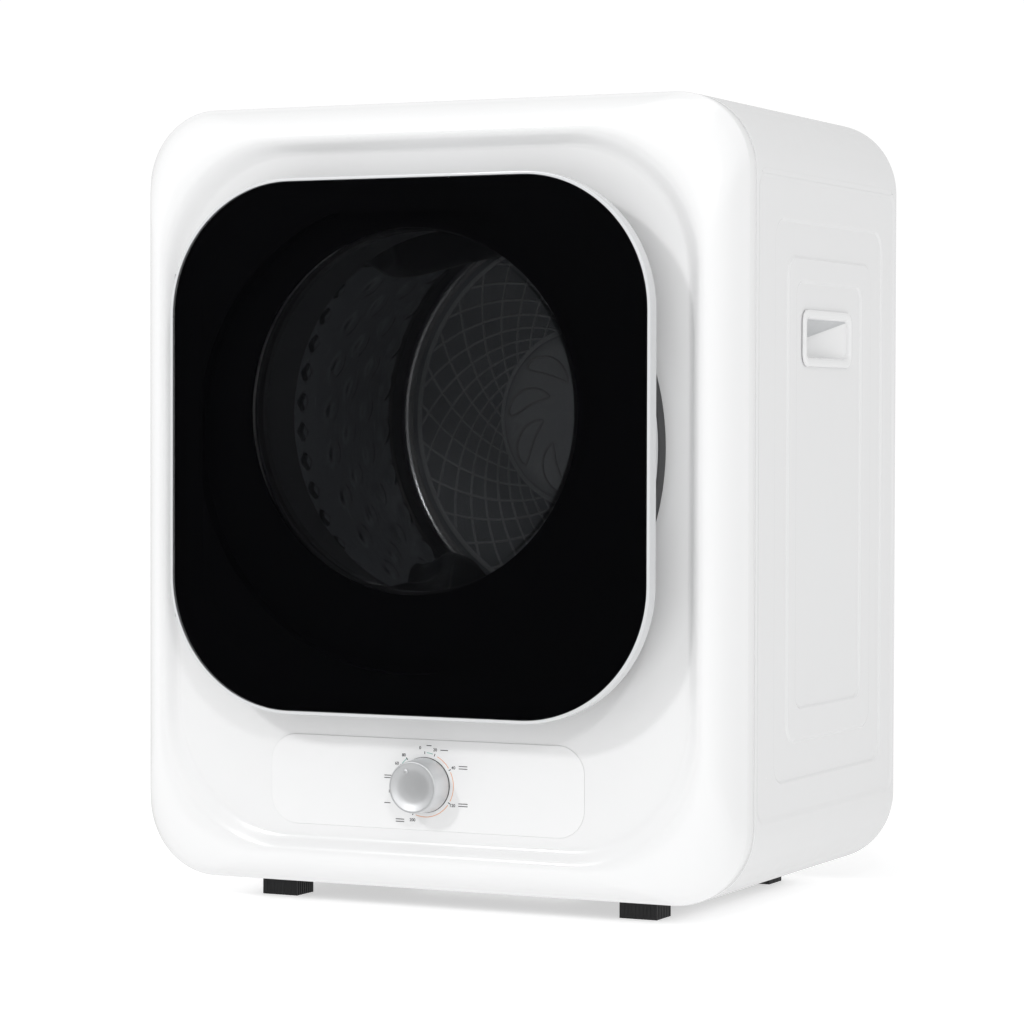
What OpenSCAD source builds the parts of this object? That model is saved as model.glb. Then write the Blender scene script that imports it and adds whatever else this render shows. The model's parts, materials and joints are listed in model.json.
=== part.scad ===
// Compact front-loading vented clothes dryer, as an assembly of its separate pieces.
// Frame: origin at the middle of the footprint on the ground, +Z up, +Y to the rear; the door faces -Y.

/* [Cabinet] */
// Width of the cabinet
body_w = 495; // [470:1:520]
// Total height, feet included
total_h = 600; // [580:1:640]
// Height of the feet
foot_h = 16; // [12:1:24]
// Radius of the four long edges of the cabinet
corner_r = 57; // [45:1:65]
// Distance from the middle plane to the front of the door glass
door_y = 205; // [203:1:207]
// Distance from the middle plane to the end of the exhaust collar
collar_y = 205; // [200:1:215]
// Depth of each pressed step on the sides
press_step = 0.6; // [0.5:0.1:1]

/* [Door] */
// Width of the smoked door cover
door_w = 386.5; // [370:0.5:400]
// Height of the smoked door cover
door_h = 390; // [370:1:400]
// Corner radius of the door cover
door_r = 98; // [80:1:110]
// Height of the door's middle above the ground
door_z = 345; // [335:1:355]
// Radius of the round window
window_r = 134; // [120:1:136]
// Height of the window's middle above the ground
window_z = 371; // [369:1:372]

/* [Controls] */
// Width of the control overlay
overlay_w = 258; // [220:1:300]
// Height of the control overlay
overlay_h = 67; // [60:1:72]
// Height of the timer knob's axis above the ground
knob_z = 96; // [92:1:100]
// Diameter of the knob at its base
knob_d = 41; // [36:1:46]
// How far the knob stands out of the overlay
knob_h = 21; // [16:1:26]

/* [Drum] */
// Outer radius of the drum
drum_r = 166; // [164:1:180]
// Height of the drum's axis above the ground
drum_z = 367; // [365:1:370]
// Inner radius of the mouth that clothes go through
mouth_r = 140; // [138:1:142]
// Thickness of the drum's sheet steel
drum_t = 0.6; // [0.5:0.1:1.2]

/* [Air] */
// Outside radius of the exhaust collar
collar_r = 50; // [45:1:52]
// Radius of the blower wheel
blower_r = 95; // [85:1:98]
// Number of blades on the blower wheel
blades = 24; // [12:1:32]

/* [Drive] */
// Sideways place of the motor
motor_x = -130; // [-140:1:-120]
// Height of the motor's axis above the ground
motor_z = 95; // [90:1:98]
// Radius of the motor's casing
motor_r = 48; // [40:1:50]
// Radius of the pulley that drives the drum belt
motor_pulley_r = 9; // [7:0.5:12]
// Radius of the pulley that drives the blower belt
rear_pulley_r = 20; // [15:1:24]
// Radius of the blower's own pulley
fan_pulley_r = 36; // [30:1:40]

/* [Hidden] */
$fn = 96;

// Planes along the depth, as distances in front of the middle plane (front) or behind it (back)
crease_front = 148;
flange_t = 13.8;
seam_front = crease_front - flange_t;
back_y = 164;
crown_h = 25;
crown_in = 26;
dish_h = 18.6;
dish_front = crease_front + dish_h;
dish_in = 37;
panel_t = 2.5;
panel_back = dish_front - panel_t;
body_h = total_h - foot_h;
mid_z = foot_h + body_h / 2;
wall = 0.6;
sheet = 0.8;
tray_t = 1;
gap = 0.3;
glass_t = 3;
rim_t = 2.3;
rim_back = door_y - 12;
ring_front = rim_back;
ring_r = 192;
ring_back = crease_front + 32.6;
gasket_front = ring_back - gap;
bowl_bottom = crease_front + 12;
frame_back = crease_front + 40;
hinge_x = -197;
hinge_front = crease_front + 38;
hinge_pin_r = 2;
hinge_dz = 112;
knuckle_r = 5;
bulkhead_front = 130;
mouth_back = 114;
drum_front = 115.2;
lip_front = 126;
drum_back = 118;
lip_r = 152;
bend = 6;
rear_plate_y = 123;
housing_y0 = 126.5;
housing_y1 = 162.4;
axle_r = 6;
run = 0.05;
belt_t = 2;
belt_y = -38;
belt_w = 9;
rear_belt_y = 170;
rear_belt_w = 6;
idler_r = 14;
latch_x = 165;
switch_z = 378;
plunger_travel = 3;
foot_x = 150;
foot_y = 104.5;
foot_rear_y = 119.5;
grip_y = 12;
grip_z = 426;
collar_x = 105;
collar_z = 132;
scroll_r = 108;
scroll_x0 = 55;
scroll_x1 = 120;

// ---- Shared shapes ----

// Rounded rectangle about the origin, with true round corners
module round_rect(w, h, r) {
  square([w - 2 * r, h], center = true);
  square([w, h - 2 * r], center = true);
  for (sx = [-1, 1], sy = [-1, 1])
    translate([sx * (w / 2 - r), sy * (h / 2 - r)])
      circle(r);
}

// Turns a drawing in the XY plane to stand up and face -Y, at height z
module facing_front(z = 0) {
  translate([0, 0, z])
    rotate([90, 0, 0])
      children();
}

// Plate with a rounded outline between two depths, given as distances in front of the middle plane
module front_plate(w, h, r, back, front, z) {
  facing_front(z)
    translate([0, 0, back])
      linear_extrude(front - back)
        round_rect(w, h, r);
}

// Ring or tube about a depth-wise axis, from a closed outline of [radius, distance in front]
module turned(points, x, z) {
  translate([x, 0, z])
    rotate([90, 0, 0])
      rotate_extrude()
        polygon(points);
}

// Round bar along the depth
module bar_y(r, y0, y1, x = 0, z = 0) {
  translate([x, y0, z])
    rotate([-90, 0, 0])
      cylinder(h = y1 - y0, r = r);
}

// Round bar along the width
module bar_x(r, x0, x1, y = 0, z = 0) {
  translate([x0, y, z])
    rotate([0, 90, 0])
      cylinder(h = x1 - x0, r = r);
}

// Tube along the depth
module tube_y(r_out, r_in, y0, y1, x = 0, z = 0) {
  difference() {
    bar_y(r_out, y0, y1, x, z);
    bar_y(r_in, y0 - 1, y1 + 1, x, z);
  }
}

// Box between two corners
module box(low, high) {
  translate(low)
    cube(high - low);
}

// Sweeps an outline of [distance in from the edge, distance in front] round a rounded rectangle
module edge_sweep(w, h, r, outline) {
  for (k = [0:3]) {
    across = k % 2 == 0 ? w : h;
    along = k % 2 == 0 ? h : w;
    rotate([0, 0, 90 * k])
      rotate([90, 0, 0])
        linear_extrude(along - 2 * r, center = true)
          polygon([for (p = outline) [across / 2 - p[0], p[1]]]);
    rotate([0, 0, 90 * k])
      translate([across / 2 - r, along / 2 - r, 0])
        rotate_extrude(angle = 90)
          polygon([for (p = outline) [r - p[0], p[1]]]);
  }
}

// ---- Cabinet ----

// Height of the front moulding's skin above the crease, at a distance in from its edge
function crown(d) =
  d <= crown_in ? crown_h * (1 - pow((crown_in - d) / crown_in, 2.2)) :
  dish_h + (crown_h - dish_h) * (1 + cos(180 * (d - crown_in) / (dish_in - crown_in))) / 2;

// Nested pressed panels on each side: [front y, rear y, bottom z, top z]
press_outer = [-94, 132, 101, 511];
press_middle = [-68, 108, 129, 485];
press_inner = [-51, 86, 153, 467];
grip_w = 102;
grip_h = 42;

module press_outline(panel, grow, r) {
  translate([(panel[0] + panel[1]) / 2, (panel[2] + panel[3]) / 2])
    round_rect(panel[1] - panel[0] + 2 * grow, panel[3] - panel[2] + 2 * grow, r + grow);
}

// Extrudes a (y, z) drawing across the width
module across_width(x0, x1) {
  translate([x0, 0, 0])
    rotate([90, 0, 90])
      linear_extrude(x1 - x0)
        children();
}

module grip_hole() {
  translate([grip_y, grip_z])
    round_rect(grip_w - 5, grip_h - 5, 7);
}

// One side's nest of pressed steps, each one sheet thickness further in
module pressed_side(side) {
  lap = 2;
  steps = [[press_outer, press_middle], [press_middle, press_inner], [press_inner, []]];
  for (k = [0:2]) {
    x_out = body_w / 2 - press_step * (k + 1);
    mirror([side < 0 ? 1 : 0, 0, 0])
      difference() {
        across_width(x_out - press_step, x_out)
          press_outline(steps[k][0], lap, 26 - 5 * k);
        if (k < 2)
          across_width(x_out - press_step - 1, x_out + 1)
            press_outline(steps[k][1], 0, 21 - 5 * k);
        if (k == 2)
          across_width(x_out - press_step - 1, x_out + 1)
            grip_hole();
      }
  }
}

module cabinet_shell() {
  color("white") {
    difference() {
      front_plate(body_w, body_h, corner_r, -back_y, seam_front - gap, mid_z);
      front_plate(body_w - 2 * wall, body_h - 2 * wall, corner_r - wall, -back_y - 1, seam_front, mid_z);
      across_width(-body_w, body_w)
        press_outline(press_outer, 0, 26);
      for (k = [-3:3])
        box([20 * k - 5, -60, foot_h - 1], [20 * k + 5, 10, foot_h + wall + 1]);
    }
    pressed_side(1);
    pressed_side(-1);
  }
}

module front_panel() {
  steps = 8;
  skin = [for (k = [0:steps]) crown_in * k / steps];
  inner = [for (k = [1:4]) crown_in + (dish_in - crown_in) * k / 4];
  outside = [for (d = concat(skin, inner)) [d, crease_front + crown(d)]];
  inside = [[dish_in, panel_back], [crown_in, crease_front + crown_h - panel_t],
    [14, crease_front + 19], [6, crease_front + 6], [panel_t, crease_front - 2], [panel_t, seam_front]];
  color("white")
    difference() {
      union() {
        facing_front(mid_z)
          edge_sweep(body_w, body_h, corner_r, concat([[0, seam_front]], outside, inside));
        front_plate(body_w - 2 * dish_in, body_h - 2 * dish_in, corner_r - dish_in,
          panel_back, dish_front, mid_z);
      }
      bar_y(mouth_r + 4, -dish_front - 1, -panel_back + 1, 0, drum_z);
      bar_y(6, -dish_front - 1, -panel_back + 1, 0, knob_z);
      bar_y(2.6, -dish_front - 1, -panel_back + 1, latch_x, switch_z);
      box([latch_x - 6, -dish_front - 1, door_z - 12], [latch_x + 8, -panel_back + 1, door_z + 12]);
      for (z = [door_z - hinge_dz, door_z + hinge_dz], dz = [-10, 10])
        bar_y(2.1, -dish_front - 1, -panel_back + 1, hinge_x + 4, z + dz);
    }
}

module control_overlay() {
  color("whitesmoke")
    difference() {
      front_plate(overlay_w, overlay_h, 21, dish_front, dish_front + 0.6, knob_z);
      bar_y(6, -dish_front - 2, -dish_front + 1, 0, knob_z);
    }
}

// Dark tray under the cabinet, which the feet are screwed to
module base_plate() {
  color("dimgray")
    difference() {
      box([-172, -122, foot_h - tray_t], [172, 140, foot_h]);
      for (k = [-3:3])
        box([20 * k - 5, -60, foot_h - 3], [20 * k + 5, 10, foot_h + 1]);
      for (x = [-foot_x, foot_x], y = [-foot_y, foot_rear_y])
        translate([x, y, foot_h - 3])
          cylinder(h = 4, r = 2.2);
    }
}

rear_mount_x = 190;
rear_mount_z = [90, 520];
screw_x = 205;

module rear_panel() {
  color("lightgray")
    difference() {
      front_plate(body_w - 2 * wall - 0.4, body_h - 2 * wall - 0.4, corner_r - wall - 0.2,
        -back_y, -back_y + wall, mid_z);
      bar_y(14, housing_y1, back_y + 1, 0, drum_z);
      bar_y(9, housing_y1, back_y + 1, motor_x, motor_z);
      bar_y(collar_r - 1, housing_y1, back_y + 1, collar_x, collar_z);
      bar_y(9, housing_y1, back_y + 1, -205, 60);
      for (x = [-rear_mount_x, rear_mount_x], z = rear_mount_z)
        bar_y(3.2, housing_y1, back_y + 1, x, z);
      for (x = [-screw_x, screw_x], z = [150, 300, 450])
        bar_y(2.1, housing_y1, back_y + 1, x, z);
      for (k = [0:5])
        box([-60, housing_y1, 30 + 12 * k], [30, back_y + 1, 36 + 12 * k]);
    }
}

// Outline of the belt cover, in (x, z): a round end over each pulley joined by straight sides
module cover_outline(grow) {
  hull() {
    translate([0, drum_z])
      circle(84 + grow, $fn = 32);
    translate([motor_x + 8, motor_z + 8])
      circle(44 + grow, $fn = 32);
  }
}

module rear_cover() {
  deep = 24;
  color("silver")
    difference() {
      translate([0, back_y + deep, 0])
        rotate([90, 0, 0])
          linear_extrude(deep)
            cover_outline(0);
      translate([0, back_y + deep - sheet, 0])
        rotate([90, 0, 0])
          linear_extrude(deep)
            cover_outline(-sheet);
    }
}

module exhaust_collar() {
  color("silver") {
    tube_y(collar_r, collar_r - 1.5, back_y, collar_y, collar_x, collar_z);
    tube_y(collar_r + 8, collar_r - 1.5, back_y, back_y + 1.5, collar_x, collar_z);
  }
}

module foot(sx, y) {
  half_x = 15;
  half_y = 13;
  rib = 3;
  color("black")
    translate([sx * foot_x, y, 0])
      difference() {
        union() {
          box([-half_x + 1.5, -half_y + 1.5, 0], [half_x - 1.5, half_y - 1.5, foot_h - tray_t]);
          for (k = [-4:4])
            box([rib * k - 0.8, -half_y, 0], [rib * k + 0.8, half_y, foot_h - 3]);
          for (k = [-4:4])
            box([-half_x, rib * k - 0.8, 0], [half_x, rib * k + 0.8, foot_h - 3]);
        }
        translate([0, 0, -1])
          cylinder(h = foot_h, r = 4.5);
      }
}

module feet() {
  for (x = [-1, 1], y = [-foot_y, foot_rear_y])
    foot(x, y);
}

// Handle pocket: a rim round the hole and a wedge-shaped finger cup behind it
module handle(side) {
  face = body_w / 2 - 3 * press_step;
  deep = 22;
  color("white")
    mirror([side < 0 ? 1 : 0, 0, 0])
      difference() {
        union() {
          across_width(face, face + 2.6)
            translate([grip_y, grip_z])
              round_rect(grip_w, grip_h, 9);
          across_width(face - deep, face)
            translate([grip_y, grip_z])
              round_rect(grip_w - 6, grip_h - 6, 7);
        }
        across_width(face - deep + 2, face + 3)
          translate([grip_y, grip_z])
            round_rect(grip_w - 18, grip_h - 14, 5);
      }
}

module handle_left() {
  handle(-1);
}

module handle_right() {
  handle(1);
}

// Clamp bush that a mains lead would come through, on the rear panel
module cord_gland() {
  color("black")
    difference() {
      union() {
        bar_y(12, back_y, back_y + 9, -205, 60);
        bar_y(8.8, back_y - 6, back_y, -205, 60);
      }
      bar_y(4, back_y - 7, back_y + 10, -205, 60);
    }
}

module terminal_block() {
  color("ivory")
    difference() {
      box([-228, 116, 98], [-190, 132 - 10, 118]);
      for (k = [0:2])
        translate([-219 + 10 * k, 118.5, 99.5])
          cube([6, 5, 17]);
    }
}

module cabinet_screws() {
  head_r = 4;
  color("silver") {
    for (x = [-screw_x, screw_x], z = [150, 300, 450]) {
      bar_y(head_r, back_y, back_y + 2, x, z);
      bar_y(1.9, back_y - 8, back_y, x, z);
    }
    for (x = [-foot_x, foot_x], y = [-foot_y, foot_rear_y])
      translate([x, y, foot_h - 5])
        cylinder(h = 2.6, r = 4);
    for (z = [door_z - hinge_dz, door_z + hinge_dz], dz = [-10, 10]) {
      bar_y(1.9, -dish_front, -panel_back + 5, hinge_x + 4, z + dz);
      bar_y(3, -dish_front - 2.6 - 1.2, -dish_front - 2.6, hinge_x + 4, z + dz);
    }
  }
}

// ---- Drum supports and air path ----

module front_bulkhead() {
  color("gainsboro")
    difference() {
      front_plate(body_w - 2 * wall - 10, 420, 52, bulkhead_front - sheet, bulkhead_front, 386);
      bar_y(mouth_r + 3.2, -bulkhead_front - 1, -bulkhead_front + 3, 0, drum_z);
      box([-78, -bulkhead_front - 1, 100], [78, -bulkhead_front + 3, 190]);
    }
}

// Tunnel from the front moulding into the drum, with slots below for the warm air
module drum_mouth() {
  color("gainsboro")
    difference() {
      union() {
        tube_y(mouth_r + 3, mouth_r, -panel_back, -mouth_back, 0, drum_z);
        tube_y(mouth_r + 12, mouth_r, -bulkhead_front - 2, -bulkhead_front - 0.2, 0, drum_z);
      }
      for (k = [-4:4])
        translate([0, 0, drum_z])
          rotate([0, 9 * k, 0])
            box([-7, -157, -mouth_r - 10], [7, -137, -mouth_r + 5]);
    }
}

module drum_felts() {
  color("gray") {
    tube_y(lip_r - 0.4, mouth_r + 3.1, -lip_front, 5 - lip_front, 0, drum_z);
    tube_y(158, 145, drum_back + gap, rear_plate_y - 0.1, 0, drum_z);
  }
}

// Low-friction pads that the drum's front edge rides on
module glide_pads() {
  color("ivory")
    for (a = [-32, 32])
      translate([0, 0, drum_z])
        rotate([0, a, 0])
          difference() {
            box([-16, -bulkhead_front + 1.8, -lip_r - 16], [16, -drum_front - 1.8, -lip_r + 10]);
            bar_y(lip_r + drum_t + gap, -bulkhead_front, -drum_front, 0, 0);
          }
}

module door_gasket() {
  color("dimgray")
    turned([[178, dish_front], [ring_r, dish_front], [ring_r, gasket_front], [186, gasket_front],
      [184, gasket_front - 4], [178, gasket_front - 4]], 0, door_z);
}

module rear_bulkhead() {
  color("gainsboro") {
    difference() {
      front_plate(body_w - 2 * wall - 10, body_h - 2 * wall - 10, 50,
        -rear_plate_y - sheet, -rear_plate_y, mid_z);
      bar_y(142, rear_plate_y - 1, rear_plate_y + 3, 0, drum_z);
      bar_y(9, rear_plate_y - 1, rear_plate_y + 3, motor_x, motor_z);
      for (x = [-rear_mount_x, rear_mount_x], z = rear_mount_z)
        bar_y(6, rear_plate_y - 1, rear_plate_y + 3, x, z);
    }
    difference() {
      union() {
        for (a = [90, 210, 330])
          translate([0, 0, drum_z])
            rotate([0, a, 0])
              box([0, rear_plate_y, -7], [152, rear_plate_y + 1.5, 7]);
        bar_y(16, rear_plate_y - 1.5, rear_plate_y + 3, 0, drum_z);
      }
      bar_y(axle_r, rear_plate_y - 5, rear_plate_y + 5, 0, drum_z);
    }
  }
}

// Fixed axle that the drum and the blower both turn on
module drum_axle() {
  color("silver")
    bar_y(axle_r, 104, 181, 0, drum_z);
}

// Strap over the blower's pulley that holds the rear end of the axle
module axle_bracket() {
  reach = 66;
  color("silver")
    difference() {
      union() {
        box([-reach, 179, drum_z - 12], [reach, 181, drum_z + 12]);
        for (side = [-1, 1]) {
          box([side * reach - 1, back_y, drum_z - 12], [side * reach + 1, 181, drum_z + 12]);
          translate([side * (reach + 5), back_y, drum_z])
            box([-6, 0, -12], [6, 2, 12]);
        }
      }
      bar_y(axle_r, 170, 190, 0, drum_z);
    }
}

// Scroll round the blower wheel, with a leg down to the exhaust collar
module scroll_outline(grow) {
  translate([0, drum_z])
    circle(scroll_r + grow);
  translate([scroll_x0 - grow, collar_z])
    square([scroll_x1 - scroll_x0 + 2 * grow, drum_z - collar_z]);
  translate([collar_x, collar_z])
    circle(collar_r + 4 + grow);
}

module blower_housing() {
  skin = 1.5;
  color("lightgray")
    difference() {
      translate([0, housing_y1, 0])
        rotate([90, 0, 0])
          linear_extrude(housing_y1 - housing_y0)
            scroll_outline(0);
      translate([0, housing_y1 + 1, 0])
        rotate([90, 0, 0])
          linear_extrude(housing_y1 - housing_y0 - skin + 1)
            scroll_outline(-skin);
      bar_y(78, housing_y0 - 1, housing_y0 + 3, 0, drum_z);
    }
}

module heater_box() {
  low = [-75, -161, 168];
  high = [75, -134, 219];
  color("silver")
    difference() {
      box(low, high);
      box(low + [1.2, 1.2, -1], high + [-1.2, -1.2, 1]);
      bar_y(mouth_r + 3.3, -170, -bulkhead_front + 3, 0, drum_z);
    }
}

// Heating block: a frame with cooling fins across the air path
module heater_element() {
  color("dimgray") {
    box([-70, -157, 180], [70, -154, 204]);
    box([-70, -141, 180], [70, -138, 204]);
    for (k = [-16:16])
      box([4 * k - 0.6, -154, 182], [4 * k + 0.6, -141, 202]);
  }
}

module thermostats() {
  color("black") {
    for (x = [-25, 25]) {
      bar_y(9, -163.6, -161.2, x, 190);
      box([x - 4, -163.4, 198], [x + 4, -161.6, 205]);
    }
    bar_x(9, scroll_x1, scroll_x1 + 7, housing_y1 - 18, drum_z - 135);
  }
}

// ---- Controls ----

module timer_unit() {
  color("ivory")
    difference() {
      union() {
        box([-27, -158, knob_z - 24], [27, -124, knob_z + 24]);
        bar_y(5.5, -panel_back - 1.5, -158, 0, knob_z);
      }
      bar_y(3 + run, -panel_back - 3, -128, 0, knob_z);
    }
}

module timer_shaft() {
  color("silver")
    bar_y(3, -dish_front - 12, -130, 0, knob_z);
}

module timer_knob() {
  base = dish_front + 1.1;
  top = dish_front + knob_h + 0.4;
  color("silver")
    difference() {
      turned([[0, base], [knob_d / 2, base], [knob_d / 2, base + 1], [knob_d / 2 - 1.2, top - 1.2],
        [knob_d / 2 - 2.2, top], [knob_d / 2 - 3.4, top - 0.2], [12, top - 1.6], [6, top - 2.2],
        [0, top - 2.4]], 0, knob_z);
      bar_y(3, -dish_front - 12, -dish_front, 0, knob_z);
      bar_y(1.6, -top - 1, -top + 3, -6.5, knob_z + 12);
    }
}

// One housing behind the front moulding holds the latch's catch and, above it, the door switch
module door_catch() {
  color("ivory")
    difference() {
      box([latch_x - 10, -panel_back, door_z - 18], [latch_x + 13, -137, switch_z + 11]);
      box([latch_x - 6, -panel_back - 1, door_z - 12], [latch_x + 8, -140, door_z + 12]);
      bar_y(2.2 + run, -panel_back - 1, -146, latch_x, switch_z);
    }
}

module switch_plunger() {
  color("red")
    bar_y(2.2, -ring_back + gap, -150 - plunger_travel - 1.5, latch_x, switch_z);
}

// ---- Door ----

module door_cover() {
  color([0.06, 0.06, 0.07])
    front_plate(door_w, door_h, door_r, door_y - glass_t, door_y, door_z);
}

// Bright frame round the cover, with a flange behind it
module door_rim() {
  outer_w = door_w + 2 * rim_t + 0.4;
  outer_h = door_h + 2 * rim_t + 0.4;
  color("silver")
    difference() {
      front_plate(outer_w, outer_h, door_r + rim_t, rim_back, door_y - 0.4, door_z);
      front_plate(door_w + 0.4, door_h + 0.4, door_r, door_y - 8, door_y + 1, door_z);
      front_plate(door_w - 16, door_h - 16, door_r - 8, rim_back - 1, door_y, door_z);
    }
}

// Black carrier behind the cover, stepped back in a round dish to the window opening
module door_inner_frame() {
  step_r = 173.5;
  step_front = crease_front + 43;
  step_z = window_z - 18;
  color([0.03, 0.03, 0.03])
    difference() {
      union() {
        front_plate(door_w - 18, door_h - 18, door_r - 9, rim_back + 0.2, door_y - glass_t - 0.2, door_z);
        bar_y(step_r + 2, -rim_back - 0.2, -frame_back, 0, step_z);
      }
      bar_y(step_r, -door_y, -step_front, 0, step_z);
      bar_y(window_r, -door_y, -frame_back + 1, 0, window_z);
    }
}

module door_ring() {
  color("gainsboro")
    difference() {
      turned([[150, ring_back], [ring_r, ring_back], [ring_r, ring_front], [ring_r - 3, ring_front],
        [ring_r - 3, ring_back + 2.5], [150, ring_back + 2.5]], 0, door_z);
      bar_y(mouth_r + 2, -ring_front - 1, -ring_back + 1, 0, window_z);
    }
}

// Clear bowl that keeps the load off the door
module door_window() {
  edge = window_r + 4.5;
  color([0.8, 0.85, 0.9, 0.4])
    turned([[0, bowl_bottom], [110, bowl_bottom + 1], [124, bowl_bottom + 3],
      [window_r - 4, bowl_bottom + 9], [window_r - 2, frame_back - 3], [edge, frame_back - 3],
      [edge, frame_back - 0.3], [window_r - 5, frame_back - 0.3],
      [window_r - 7, bowl_bottom + 11], [123, bowl_bottom + 6], [110, bowl_bottom + 4],
      [0, bowl_bottom + 3]], 0, window_z);
}

module window_ring() {
  color("silver")
    tube_y(window_r + 1, window_r - 1.8, -crease_front - 35, -crease_front - 21, 0, window_z);
}

module latch_hook() {
  tip = crease_front + 4;
  color("gainsboro")
    union() {
      box([latch_x - 2, -ring_back, door_z - 8], [latch_x + 2, -tip, door_z + 8]);
      box([latch_x - 2, -tip - 5, door_z - 8], [latch_x + 5, -tip, door_z + 8]);
    }
}

// Hinge: two fixed brackets with pins, and two leaves on the door between their knuckles
module hinge_bracket() {
  color("silver")
    for (z = [door_z - hinge_dz, door_z + hinge_dz])
      difference() {
        union() {
          box([hinge_x - 5, -dish_front - 2.6, z - 17], [hinge_x + 9, -dish_front, z + 17]);
          for (dz = [-17, 9]) {
            translate([hinge_x, -hinge_front, z + dz])
              cylinder(h = 8, r = knuckle_r);
            box([hinge_x - 4, -hinge_front, z + dz], [hinge_x + 4, -dish_front - 2, z + dz + 8]);
          }
        }
        translate([hinge_x, -hinge_front, z - 18])
          cylinder(h = 36, r = hinge_pin_r);
        for (dz = [-10, 10])
          bar_y(2.1, -dish_front - 4, -dish_front + 1, hinge_x + 4, z + dz);
        for (dz = [-10, 10])
          bar_y(3.2, -hinge_front - 8, -dish_front - 2.6, hinge_x + 4, z + dz);
      }
}

module hinge_pins() {
  color("silver")
    for (z = [door_z - hinge_dz, door_z + hinge_dz])
      translate([hinge_x, -hinge_front, z - 17])
        cylinder(h = 34, r = hinge_pin_r);
}

module hinge_leaf() {
  color("silver")
    for (z = [door_z - hinge_dz, door_z + hinge_dz])
      difference() {
        union() {
          translate([hinge_x, -hinge_front, z - 8.5])
            cylinder(h = 17, r = knuckle_r);
          translate([hinge_x, -hinge_front - knuckle_r, z])
            box([0, 0, -8.5], [34, 2.5, 8.5]);
          box([hinge_x + 14, -rim_back, z - 8.5], [hinge_x + 34, 1 - hinge_front - knuckle_r, z + 8.5]);
        }
        translate([hinge_x, -hinge_front, z - 10])
          cylinder(h = 20, r = hinge_pin_r + run);
      }
}

// ---- Drum ----

// Smooth round wall between the two end sheets
module drum_wall() {
  front = drum_front;
  color("silver")
    turned([[drum_r - bend, front], [drum_r - bend, front + drum_t], [drum_r, front + drum_t - bend],
      [drum_r, bend - drum_back], [drum_r - bend, -drum_back], [drum_r - bend, drum_t - drum_back],
      [drum_r - drum_t, bend + 0.5 - drum_back], [drum_r - drum_t, front - bend + 0.5]], 0, drum_z);
}

// Flat front ring with the lip that the felt runs in
module drum_front() {
  front = drum_front;
  color("silver")
    turned([[lip_r, lip_front], [lip_r + drum_t, lip_front], [lip_r + drum_t, front + drum_t],
      [drum_r - bend, front + drum_t], [drum_r - bend, front], [lip_r, front]], 0, drum_z);
}

// Flat rear wall with two rings of air slots
module drum_back_wall() {
  color("silver")
    difference() {
      tube_y(drum_r - bend, 60, drum_back - drum_t, drum_back, 0, drum_z);
      for (ring = [0:1], k = [0:23])
        translate([0, 0, drum_z])
          rotate([0, 15 * k + 7.5 * ring, 0])
            translate([78 + 30 * ring, drum_back, 0])
              box([0, -2, -4 - 2 * ring], [22, 1, 4 + 2 * ring]);
    }
}

module drum_hub() {
  color("dimgray")
    turned([[axle_r + run, -120.8], [15, -120.8], [15, -drum_back], [59.8, -drum_back],
      [59.8, drum_t - drum_back], [66, drum_t - drum_back], [66, 2 - drum_back], [59.8, 4 - drum_back],
      [15, 4 - drum_back], [15, -103], [axle_r + run, -103]], 0, drum_z);
}

// One point of a lifter's cross-section, at an angle and a radius about the drum's axis
function around(r, a, y) = [r * cos(a), y, r * sin(a)];

// Lifter: a rounded fin along the drum wall that sways sideways in an S
module lifter(a0) {
  rings = 12;
  y0 = -98;
  y1 = 104;
  base_r = drum_r - drum_t - 0.4;
  section = [[base_r, -8], [base_r, -4], [base_r, 0], [base_r, 4], [base_r, 8],
    [base_r - 14, 5.6], [base_r - 26, 3.2], [base_r - 30, 0], [base_r - 26, -3.2], [base_r - 14, -5.6]];
  n = len(section);
  points = [for (j = [0:rings], p = section)
    let (u = j / rings, sway = 7 * sin(360 * u), shrink = 0.55 + 0.45 * sin(180 * (0.08 + 0.84 * u)))
      around(base_r - (base_r - p[0]) * shrink, a0 + sway + p[1], y0 + (y1 - y0) * u)];
  sides = [for (j = [0:rings - 1], k = [0:n - 1])
    [j * n + k, j * n + (k + 1) % n, (j + 1) * n + (k + 1) % n, (j + 1) * n + k]];
  first = [for (k = [0:n - 1]) n - 1 - k];
  last = [for (k = [0:n - 1]) rings * n + k];
  translate([0, 0, drum_z])
    polyhedron(points, concat([first], sides, [last]), convexity = 4);
}

module drum_lifters() {
  color("dimgray")
    for (k = [0:2])
      lifter(120 * k);
}

// Lint filter that twists off the hub, with petal-shaped windows
module lint_filter() {
  color("gray")
    difference() {
      turned([[0, -98.5], [30, -98], [62, -104], [70, -112], [70, -113.6], [66, -113.6], [58, -107.5],
        [30, -101.5], [0, -101.5]], 0, drum_z);
      for (k = [0:7])
        translate([0, 0, drum_z])
          rotate([0, 45 * k, 0])
            box([36, 92, -5], [56, 118, 5]);
    }
}

// ---- Drive ----

module motor_housing() {
  color("silver")
    difference() {
      union() {
        bar_y(motor_r, -22, 62, motor_x, motor_z);
        bar_y(14, -26, 66, motor_x, motor_z);
      }
      bar_y(motor_r - 8, -19, 59, motor_x, motor_z);
      bar_y(axle_r + run, -30, 70, motor_x, motor_z);
    }
}

module motor_rotor() {
  color("gray") {
    bar_y(31.6, -5, 45, motor_x, motor_z);
    bar_y(axle_r, -46, 178, motor_x, motor_z);
  }
}

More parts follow.
